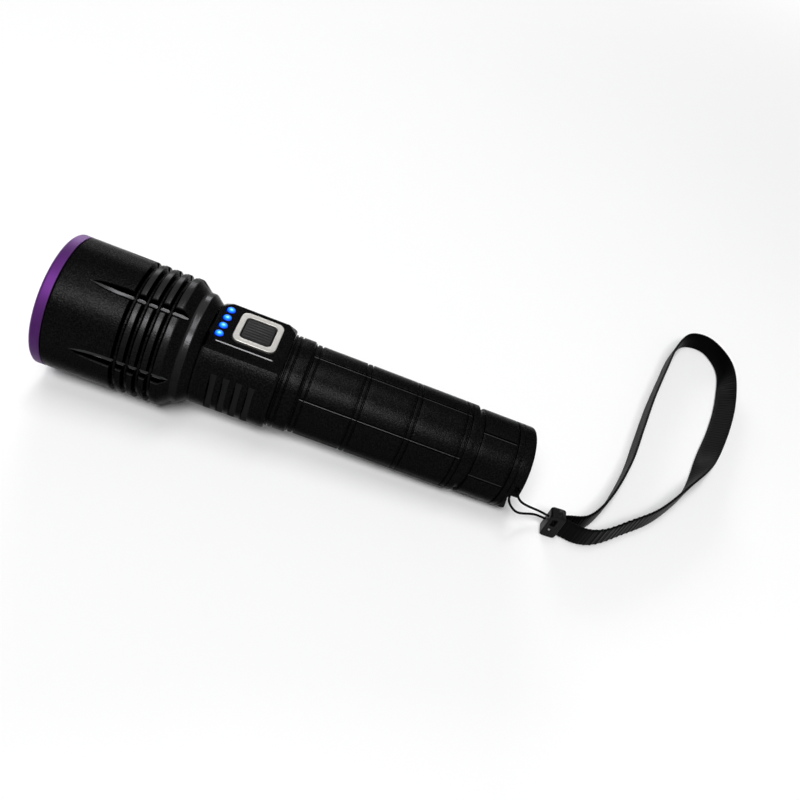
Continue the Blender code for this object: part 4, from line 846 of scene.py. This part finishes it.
def make_switch_housing():
    """Switch section as rows of that cross-section, with plain round rows for its two spigots and its
    bore, then cut for the button, the indicators and the charging port."""
    x, depth = switch_rows().T
    half, half_smooth = switch_section(x, depth)
    section = np.concatenate([half, half[:, -2:0:-1] * np.array([-1, 1])], axis=1)
    smooth = np.hstack([half_smooth, half_smooth[:, -2:0:-1]])
    # The end faces are drawn in a little, so that both ends have a small chamfer
    near_end = np.clip(1 - np.minimum(x - SWITCH_FRONT, SWITCH_END - x) / END_CHAMFER_RUN, 0, 1)
    section = section * (1 - END_CHAMFER_SHARE * near_end)[:, None, None]
    sideways, height = section[..., 0], section[..., 1]
    angle = np.arctan2(sideways, height)
    body = placed(np.stack([np.broadcast_to(x[:, None], angle.shape), -sideways, height], axis=-1))
    front = [polar(station, angle[0], FRONT_SPIGOT_RADIUS) for station in (FRONT_SPIGOT_START, SWITCH_FRONT)]
    rear = [polar(station, angle[-1], radius) for station, radius in (
        (SWITCH_END, SPIGOT_RADIUS), (REAR_SPIGOT_END, SPIGOT_RADIUS), (REAR_SPIGOT_END, SWITCH_BORE),
        (SWITCH_BORE_FRONT, SWITCH_BORE), (SWITCH_BORE_FRONT, FRONT_SPIGOT_BORE),
        (FRONT_SPIGOT_START, FRONT_SPIGOT_BORE))]
    smooth = np.pad(smooth, ((len(front), len(rear)), (0, 0)))
    piece = new_piece("switch_section", [np.concatenate([front, body, rear])], marks=cut_marks(smooth))
    cut(piece, switch_cutters())
    dress(piece, "torch", "black_anodised", "switch_housing")


def make_silver_frame():
    """Bar with eased upper edges carried round a rounded square: inset from the outer edge, and height."""
    bar = eased([(0, FRAME_FOOT), (0, FRAME_TOP), (FRAME_BAR, FRAME_TOP), (FRAME_BAR, FRAME_FOOT)],
                (0, 0.28, 0.22, 0), steps=6, closed=True)
    rows = []
    for inset, height in bar:
        half = FRAME_HALF - inset
        rows.append(level(rounded_outline(half, half, FRAME_CORNER - 0.4 * inset, arc=10), height, BUTTON_X))
    dress(new_piece("silver_frame", [np.stack(rows)]), "torch", "silver_frame", "switch_frame")


def make_button():
    """Stacked rounded squares, given by half width and height: a flange, a side with an eased edge, and a
    low crown that rises and falls once per rib pitch."""
    line = eased([(0, BUTTON_FOOT), (BUTTON_FLANGE_HALF, BUTTON_FOOT),
                  (BUTTON_FLANGE_HALF, BUTTON_FLANGE_TOP), (BUTTON_HALF, BUTTON_FLANGE_TOP),
                  (BUTTON_HALF, BUTTON_EDGE), (0, BUTTON_CROWN)],
                 (0, 0.2, 0.2, 0, 0.55, 0), steps=5)
    rows = []
    for half, height in refined(line, 0.22):
        outline = rounded_outline(half, half, min(BUTTON_CORNER, half), arc=6, side=16)
        wave = np.cos(2 * np.pi * outline[:, 1] / BUTTON_RIB_PITCH)
        fade = np.clip((BUTTON_RIBS_HALF - half) / 0.4, 0, 1)
        lift = height + BUTTON_RIB_HEIGHT * wave * fade * (height > BUTTON_EDGE - 0.05)
        rows.append(placed(np.column_stack([outline[:, 0] + BUTTON_X, outline[:, 1], lift])))
    piece = new_piece("ribbed_button", [np.stack(rows)], closed=False)
    dress(piece, "button", "button_plastic", "push_button")


def make_indicators():
    """Short rods with a low domed end. Each point's mark is its share of the rod's radius."""
    line = eased([(0, LED_FOOT), (LED_RADIUS, LED_FOOT), (LED_RADIUS, LED_RIM), (0, LED_CROWN)],
                 (0, 0, 0.25, 0))
    line = refined(line, 0.2)
    turn = np.linspace(0, 2 * np.pi, 40, endpoint=False)
    ring = np.stack([np.cos(turn), np.sin(turn)], axis=-1)
    core = np.repeat(line[:, 0] / LED_RADIUS, len(turn))
    marks = {"core": np.stack([core, core, core], axis=-1)}
    for index, y in enumerate(spread(LED_COUNT, LED_PITCH), start=1):
        rows = [level(ring * radius, height, LED_X, y) for radius, height in line]
        piece = new_piece(f"indicator_{index}", [np.stack(rows)], closed=False, marks=marks)
        dress(piece, "torch", "blue_indicator", f"indicator_led_{index}")


def make_port_cover():
    """Rounded rubber plate with soft edges, and a low lip across one end to lift it by."""
    plate = eased([(COVER_HALF_WIDTH, COVER_LOW), (0, COVER_LOW), (0, COVER_HIGH),
                   (COVER_HALF_WIDTH, COVER_HIGH)], 0.3, steps=5)
    rows = []
    for inset, height in refined(plate, 0.4):
        outline = rounded_outline(COVER_HALF_LENGTH - inset, COVER_HALF_WIDTH - inset,
                                  max(COVER_CORNER - inset, 0), arc=8, side=12)
        ridge = np.exp(-((outline[:, 0] - COVER_LIP_X) / COVER_LIP_WIDTH) ** 2)
        drop = COVER_LIP * ridge * (height < COVER_LOW + 0.2)
        rows.append(placed(np.column_stack([outline[:, 0] + BUTTON_X, outline[:, 1], height - drop])))
    dress(new_piece("rubber_port_cover", [np.stack(rows)], closed=False), "cover", "rubber", "port_cover")


# Battery tube and tail cap

def ringed(start, end, radius, rings):
    """Line from start to end with a rounded ring groove at each station, given with width and depth."""
    corners = [(start, radius)]
    cuts = [0.3]
    for station, width, depth in rings:
        corners += [(station - width / 2, radius), (station - width / 4, radius - depth),
                    (station + width / 4, radius - depth), (station + width / 2, radius)]
        cuts += [0.1, 0.12, 0.12, 0.1]
    return corners + [(end, radius)], cuts + [0.3]


def make_tube():
    """Grip with a collar, four double rings and six axial lines that run from ring to ring."""
    first = COLLAR_END + BAND_START
    bands = [first + index * BAND_PITCH + shift for index in range(BAND_COUNT) for shift in (0, BAND_WIDTH)]
    collar, collar_cuts = ringed(TUBE_FRONT, COLLAR_END, COLLAR_RADIUS,
                                 [(station, RING_WIDTH, RING_DEPTH) for station in COLLAR_RINGS])
    barrel, barrel_cuts = ringed(COLLAR_END + COLLAR_STEP, TUBE_END, TUBE_RADIUS,
                                 [(station, RING_WIDTH, RING_DEPTH) for station in bands])
    outside = eased([(TUBE_FRONT, TUBE_MOUTH)] + collar + barrel + [(TUBE_END, TUBE_MOUTH)],
                    [0] + collar_cuts + barrel_cuts + [0])
    outside = refined(outside, 3.0)
    inside = np.array([(TUBE_BORE_END, TUBE_MOUTH), (TUBE_BORE_END, TUBE_BORE), (TUBE_BORE_FRONT, TUBE_BORE),
                       (TUBE_BORE_FRONT, TUBE_MOUTH)])
    line = np.vstack([outside, inside])
    x = line[:, 0]
    grip = (x >= bands[0]) & (x <= bands[-1]) & (np.arange(len(x)) < len(outside))
    floor_radius = np.where(grip, TUBE_RADIUS - FLUTE_DEPTH, COLLAR_RADIUS)
    softness = np.full(len(x), FLUTE_SOFTNESS)
    *surface, smooth, painted_shade = slotted(line, floor_radius, 0 * x, softness, FLUTE_SLOPE, 0.0)
    piece = new_piece("banded_grip", [polar(*surface)], marks=cut_marks(FLUTE_SMOOTHNESS * smooth, painted_shade))
    dress(piece, "torch", "black_anodised", "battery_tube")


def split_runs(line, fine):
    """The line in stretches that are all fine or all coarse, each with the next stretch's first point."""
    breaks = np.flatnonzero(np.diff(fine.astype(int))) + 1
    starts = np.append(0, breaks)
    ends = np.append(breaks, len(line))
    return [(line[a:b + 1], fine[a]) for a, b in zip(starts, ends)]


def tail_line():
    """Line of the cap from the middle of its floor, out along the spigot and the cap's outside, and in to
    the middle of its recess, with close points along the thread."""
    cap, cap_cuts = ringed(TAIL_FRONT, TAIL_END, TAIL_RADIUS, TAIL_RINGS)
    cap_cuts[-1] = TAIL_EDGE
    corners = [(TAIL_FLOOR, 0), (TAIL_FLOOR, SPIGOT_BORE), (SPIGOT_START, SPIGOT_BORE),
               (SPIGOT_START, SPIGOT_RADIUS), (TAIL_FRONT, SPIGOT_RADIUS)]
    corners += cap + [(TAIL_END, RECESS_RADIUS), (RECESS_FLOOR, RECESS_RADIUS), (RECESS_FLOOR, 0)]
    line = eased(corners, [0, 0, 0, 0.4, 0.1] + cap_cuts + [0.35, 0.5, 0])
    x, radius = line.T
    spigot = (x > SPIGOT_START - 0.1) & (x < TAIL_FRONT) & (radius > SPIGOT_BORE + 0.6)
    return np.vstack([refined(part, 0.25 if fine else 1.6) for part, fine in split_runs(line, spigot)])


def tail_cutters():
    """Shapes that open the cap: an arc of its rim for the notch, and a drill through the rim for the
    string."""
    sweep = np.radians(np.linspace(*NOTCH_ARC, 12))
    reach = np.repeat(NOTCH_RADII, len(sweep))
    angle = np.append(sweep, sweep[::-1])
    notch = prism(polar(TAIL_END - NOTCH_DEPTH, angle, reach), polar(TAIL_END + 2, angle, reach))
    across, round_axis = rounded_outline(STRING_HOLE, STRING_HOLE, STRING_HOLE, arc=6).T
    bores = [polar(TAIL_END - STRING_HOLE_DEPTH + across, STRING_HOLE_ANGLE + round_axis / radius, radius)
             for radius in (RECESS_RADIUS - 2, TAIL_RADIUS + 2.3)]
    return [notch, prism(*bores)]


def make_tail():
    """Cap with a threaded spigot, two ring grooves and axial lines, a recess, a notch in its rim and a
    hole for the string. The thread is a ridge whose height rises and falls once per pitch of
    x + pitch x turn."""
    line = tail_line()
    x, radius = line.T
    outside = (radius > TAIL_RADIUS - TAIL_GROOVE_DEPTH) & (x >= TAIL_FRONT) & (x < TAIL_GROOVE)
    floor_radius = np.where(outside, TAIL_RADIUS - FLUTE_DEPTH, TAIL_RADIUS + 1)
    softness = np.full(len(x), FLUTE_SOFTNESS)
    station, angle, shaped, smooth, painted_shade = slotted(line, floor_radius, 0 * x, softness, FLUTE_SLOPE,
                                                   TAIL_FLUTE_ANGLE)
    ridge = np.abs(((station / THREAD_PITCH + angle / (2 * np.pi)) % 1) * 2 - 1)
    threaded = (station > THREAD_START) & (station < THREAD_END) & (shaped > SPIGOT_RADIUS - 0.3)
    shaped = shaped - np.where(threaded, THREAD_DEPTH * ridge, 0)
    piece = new_piece("banded_tail_cap", [polar(station, angle, shaped)], closed=False,
                      marks=cut_marks(FLUTE_SMOOTHNESS * smooth, painted_shade))
    cut(piece, tail_cutters())
    dress(piece, "tail", "black_anodised", "tail_cap")


# Strap, clip, rivet and string

def smooth_route(points, step):
    """Points at even steps of length on the Catmull-Rom curve through the route's own points, which is
    the cubic whose slope at each point is half of the run between its neighbours."""
    points = np.asarray(points, float)
    knots = np.vstack([2 * points[0] - points[1], points, 2 * points[-1] - points[-2]])
    before, one, two, after = (knots[k:len(knots) - 3 + k, None] for k in range(4))
    t = np.linspace(0, 1, 60, endpoint=False)[None, :, None]
    dense = 0.5 * (2 * one + (two - before) * t + (2 * before - 5 * one + 4 * two - after) * t ** 2
                   + (3 * one - before - 3 * two + after) * t ** 3)
    dense = np.vstack([dense.reshape(-1, 3), points[-1:]])
    reach = np.append(0, np.cumsum(np.linalg.norm(np.diff(dense, axis=0), axis=1)))
    at = np.linspace(0, reach[-1], int(round(reach[-1] / step)) + 1)
    return np.stack([np.interp(at, reach, column) for column in dense.T], axis=1), at


def carried(route, outline_side, outline_up, sideways, upward):
    """Profile carried along a route: route point + side x sideways + up x upward, closed at both ends by
    a row that shrinks to the route's end point."""
    across = sideways[:, None] * outline_side[..., None]
    body = route[:, None] + across + upward[:, None] * outline_up[..., None]
    ends = [np.broadcast_to(route[k], body[0].shape)[None] for k in (0, -1)]
    return np.concatenate([ends[0], body, ends[1]])


def eased_share(value, stretch):
    """Smooth rise from 0 at the start of a stretch to 1 at its end."""
    share = np.clip((value - stretch[0]) / (stretch[1] - stretch[0]), 0, 1)
    return share * share * (3 - 2 * share)


def make_strap(clip, rivet):
    """Woven band standing on edge in a loop, leaning outwards along one stretch, where it is sunk so that
    its lower edge stays on the table. Its thickness and its selvedges swell once per rib, and behind
    the clip it ripples sideways."""
    route, reach = smooth_route(STRAP_ROUTE, STRAP_STEP)
    ahead = np.gradient(route, axis=0)
    outward = np.stack([ahead[:, 1], -ahead[:, 0], np.zeros(len(route))], axis=1)
    outward /= np.linalg.norm(outward, axis=1, keepdims=True)
    above = np.array([0.0, 0.0, 1.0])
    lean = STRAP_LEAN * (eased_share(reach, STRAP_LEANS_OVER) - eased_share(reach, STRAP_STANDS_UP))[:, None]
    upward = outward * np.sin(lean) + above * np.cos(lean)
    sideways = above * np.sin(lean) - outward * np.cos(lean)
    sink = STRAP_WIDTH / 2 * (1 - np.cos(lean)) - STRAP_THICKNESS / 2 * np.sin(lean)
    shown = eased_share(reach, RIPPLE_STARTS) - eased_share(reach, RIPPLE_ENDS)
    ripple = RIPPLE_HEIGHT * np.cos(2 * np.pi * reach / RIPPLE_LENGTH) * shown
    route = route - sink * above + ripple[:, None] * outward
    outline = rounded_outline(STRAP_THICKNESS / 2, STRAP_WIDTH / 2, STRAP_THICKNESS * 0.45, arc=4, side=6)
    swell = 0.5 + 0.5 * np.cos(2 * np.pi * reach / STRAP_RIB)
    thick = 1 - STRAP_RIB_RELIEF * (1 - np.sqrt(swell))[:, None]
    wide = 1 - STRAP_EDGE_RELIEF * (1 - swell)[:, None]
    grid = carried(route, outline[:, 0] * thick, outline[:, 1] * wide, sideways, upward)
    along = np.concatenate([reach[:1], reach, reach[-1:]])[:, None]
    marks = np.stack(np.broadcast_arrays(along, outline[:, 1], outline[:, 0]), axis=-1)
    piece = new_piece("woven_wrist_strap", [grid], closed=False, marks={"weave": marks})
    dress(piece, "tail", "nylon_webbing", "wrist_strap")


def make_string():
    """Thin laid string: three strands whose bulges turn once per lay along it."""
    cap = [polar(TAIL_END + beyond, np.radians(angle), radius) for beyond, radius, angle in STRING_AT_CAP]
    knots = np.vstack([CLIP_CENTRE + STRING_LEAVES_CLIP, cap, CLIP_CENTRE + STRING_MEETS_CLIP])
    route, reach = smooth_route(knots, STRING_STEP)
    ahead = np.gradient(route, axis=0)
    ahead /= np.linalg.norm(ahead, axis=1, keepdims=True)
    # The string never runs along this direction
    askew = (0.31, 0.52, -0.79)
    sideways = np.cross(ahead, askew)
    sideways /= np.linalg.norm(sideways, axis=1, keepdims=True)
    upward = np.cross(sideways, ahead)
    turn = np.linspace(0, 2 * np.pi, 18, endpoint=False)
    strands = np.abs(np.cos(1.5 * (turn + 2 * np.pi * reach[:, None] / STRING_LAY)))
    radius = STRING_RADIUS * (0.8 + 0.2 * strands)
    grid = carried(route, radius * np.cos(turn), radius * np.sin(turn), sideways, upward)
    along = np.concatenate([reach[:1], reach, reach[-1:]])[:, None]
    marks = np.stack(np.broadcast_arrays(along, turn * STRING_RADIUS, 0.0), axis=-1)
    piece = new_piece("laid_string", [grid], closed=False, marks={"weave": marks})
    dress(piece, "tail", "nylon_webbing", "lanyard_string")


def on_clip(outline, y, place=(0.0, 0.0)):
    """Frame places of a clip outline of sideways and upright millimetres, moved to a place on the clip, at
    a depth y."""
    x, z = (outline + np.array(place)).T
    return CLIP_CENTRE + MM * np.column_stack([x, np.full(len(x), y), z])


def make_clip():
    """Moulded block with soft edges and a bell-shaped nub on top, an eye for the string and a hole for the
    rivet."""
    side = eased([(CLIP_HALF_X, -CLIP_HALF_Y), (0, -CLIP_HALF_Y), (0, CLIP_HALF_Y),
                  (CLIP_HALF_X, CLIP_HALF_Y)], 0.5, steps=5)
    rows = []
    for inset, y in refined(side, 0.4):
        outline = rounded_outline(CLIP_HALF_X - inset, CLIP_HALF_Z - inset, max(CLIP_CORNER - inset / 2, 0),
                                  arc=6, side=14)
        x, z = outline.T
        bell = np.exp(-((x - NUB_X) / NUB_SPREAD_X) ** 2 - (y / NUB_SPREAD_Y) ** 2)
        nub = NUB_HEIGHT * bell * np.clip(z - NUB_FOOT, 0, 1)
        rows.append(on_clip(np.column_stack([x, z + nub]), y))
    clip = new_piece("moulded_clip", [np.stack(rows)], closed=False)
    eye = rounded_outline(*CLIP_EYE)
    rivet_hole = rounded_outline(RIVET_HOLE, RIVET_HOLE, RIVET_HOLE, arc=8)
    beyond = CLIP_HALF_Y + 2.7
    cut(clip, [prism(on_clip(outline, -beyond, place), on_clip(outline, beyond, place))
               for outline, place in ((eye, EYE_PLACE), (rivet_hole, RIVET_PLACE))])
    return dress(clip, "tail", "clip_plastic", "strap_clip")


def make_rivet():
    """Turned pin through the clip, with a low dome at both ends, given by radius and depth."""
    end, rim, neck = RIVET_HALF, RIVET_HALF - 0.2, RIVET_HALF - 0.8
    shank = eased([(0, -end), (RIVET_DOME, -rim), (RIVET_RADIUS, -neck),
                   (RIVET_RADIUS, neck), (RIVET_DOME, rim), (0, end)], (0, 0.2, 0.1, 0.1, 0.2, 0))
    turn = np.linspace(0, 2 * np.pi, 32, endpoint=False)
    ring = np.column_stack([np.cos(turn), np.sin(turn)])
    rows = [on_clip(radius * ring, y, RIVET_PLACE) for radius, y in shank]
    rivet = new_piece("domed_rivet", [np.stack(rows)], closed=False)
    return dress(rivet, "tail", "plated_steel", "clip_rivet")


# Nodes that keep their own mesh
KEPT_NODES = {
    "rubber": ("lens_seal", "neck_seal", "tube_seal", "tail_seal"),
    "white_nylon": ("emitter_centring_ring", "switch_carrier"),
    "copper_board": ("emitter_board",),
    "bare_aluminium": ("heat_sink",),
    "circuit_board": ("switch_board", "driver_board", "tail_contact_plate"),
    "plated_steel": ("tact_switch", "front_contact_spring", "charge_socket", "tail_spring"),
    "brass": ("tail_retaining_ring",),
    "cell_wrap": ("battery_cell",),
}


def dress_kept_nodes():
    """Give each node that keeps its mesh its finish."""
    for slot, nodes in KEPT_NODES.items():
        for node in nodes:
            piece = frame["nodes"][node]
            piece.data.materials.clear()
            piece.data.materials.append(FINISHES[slot])


# Studio

def make_camera():
    """Camera of the photograph's view, set in the torch's own axes."""
    data = bpy.data.cameras.new("camera")
    data.lens = CAMERA_LENS
    data.clip_start = 0.01
    camera = bpy.data.objects.new("camera", data)
    bpy.context.scene.collection.objects.link(camera)
    right, up = (np.array(vector) @ AXES for vector in (CAMERA_RIGHT, CAMERA_UP))
    place = placed(CAMERA_PLACE)
    matrix = np.eye(4)
    matrix[:3, :4] = np.column_stack([right, up, np.cross(right, up), place])
    camera.matrix_world = Matrix(matrix.tolist())
    bpy.context.scene.camera = camera


def softbox(name, place, aim, width, height, power):
    """Oblong area lamp of that size in metres, turned from its place to its aim."""
    data = bpy.data.lights.new(name, "AREA")
    data.shape = "RECTANGLE"
    data.size = width
    data.size_y = height
    data.energy = power
    lamp = bpy.data.objects.new(name, data)
    bpy.context.scene.collection.objects.link(lamp)
    back = np.subtract(place, aim) / np.linalg.norm(np.subtract(place, aim))
    right = np.cross((0.0, 0.0, 1.0), back)
    right /= np.linalg.norm(right)
    matrix = np.eye(4)
    matrix[:3, :4] = np.column_stack([right, np.cross(back, right), back, place])
    lamp.matrix_world = Matrix(matrix.tolist())
    lamp.visible_camera = False


def seen_directly(tree):
    """Socket that is 1 for rays from the camera, from a reflection and through glass."""
    path = add(tree, "LightPath").outputs
    seen = path["Is Camera Ray"]
    for kind in ("Is Glossy Ray", "Is Transmission Ray"):
        seen = add(tree, "Math", {0: seen, 1: path[kind]}, operation="MAXIMUM").outputs[0]
    return seen


def whiten_far(tree, shader):
    """Let the table run out into plain white beyond the shadows, but only where it is seen."""
    place = add(tree, "TexCoord").outputs["Object"]
    away = add(tree, "VectorMath", {0: place}, operation="LENGTH").outputs["Value"]
    far = add(tree, "MapRange", {"Value": away, "From Min": WHITE_FROM,
                                 "From Max": WHITE_BEYOND}).outputs[0]
    share = add(tree, "Math", {0: far, 1: seen_directly(tree)}, operation="MULTIPLY").outputs[0]
    white = add(tree, "Emission", {"Color": (1.0, 1.0, 1.0, 1.0), "Strength": 1.0}).outputs[0]
    blend = add(tree, "MixShader", {0: share, 1: shader.outputs[0], 2: white})
    tree.links.new(blend.outputs[0], tree.nodes["Material Output"].inputs["Surface"])


def make_table():
    """Matt pale table, flat and square, wide enough to fill every view."""
    half = TABLE_HALF
    mesh = bpy.data.meshes.new("table")
    mesh.from_pydata([(-half, -half, 0), (half, -half, 0), (half, half, 0), (-half, half, 0)], [],
                     [(0, 1, 2, 3)])
    table = bpy.data.objects.new("table", mesh)
    bpy.context.scene.collection.objects.link(table)
    material, tree, shader = grained("matt_white_paper", "#fafafa", "#fcfcfc", (0.85, 0.95), 0.0, 2.0, 4,
                                     patch=120.0)
    whiten_far(tree, shader)
    mesh.materials.append(material)


def make_lamps():
    """Large soft key from the camera's side, with weaker soft lamps above and behind."""
    for name, values in LAMPS.items():
        softbox(name, *values)


def make_surround():
    """Even pale surround that is white where it is seen, with colours shown as they are."""
    world = bpy.data.worlds.new("studio")
    world.use_nodes = True
    bpy.context.scene.world = world
    tree = world.node_tree
    tree.nodes.clear()
    lit = add(tree, "Background", {"Color": colour("#d8d8da"), "Strength": 0.12}).outputs[0]
    white = add(tree, "Background", {"Color": (1.0, 1.0, 1.0, 1.0), "Strength": 1.0}).outputs[0]
    blend = add(tree, "MixShader", {0: seen_directly(tree), 1: lit, 2: white})
    add(tree, "OutputWorld", {"Surface": blend.outputs[0]})
    bpy.context.scene.view_settings.view_transform = "Standard"


FINISHES = {slot: grained(*values)[0] for slot, values in PLAIN_FINISHES.items()}
FINISHES["black_anodised"] = black_anodised()
FINISHES["purple_anodised"] = purple_anodised()
FINISHES["blue_indicator"] = blue_indicator()
FINISHES["nylon_webbing"] = nylon_webbing()
FINISHES["lens_glass"] = lens_glass()

make_camera()
make_table()
make_lamps()
make_surround()
make_strap(make_clip(), make_rivet())
make_string()
make_bezel()
make_head()
make_optics()
make_switch_housing()
make_silver_frame()
make_button()
make_indicators()
make_port_cover()
make_tube()
make_tail()
dress_kept_nodes()
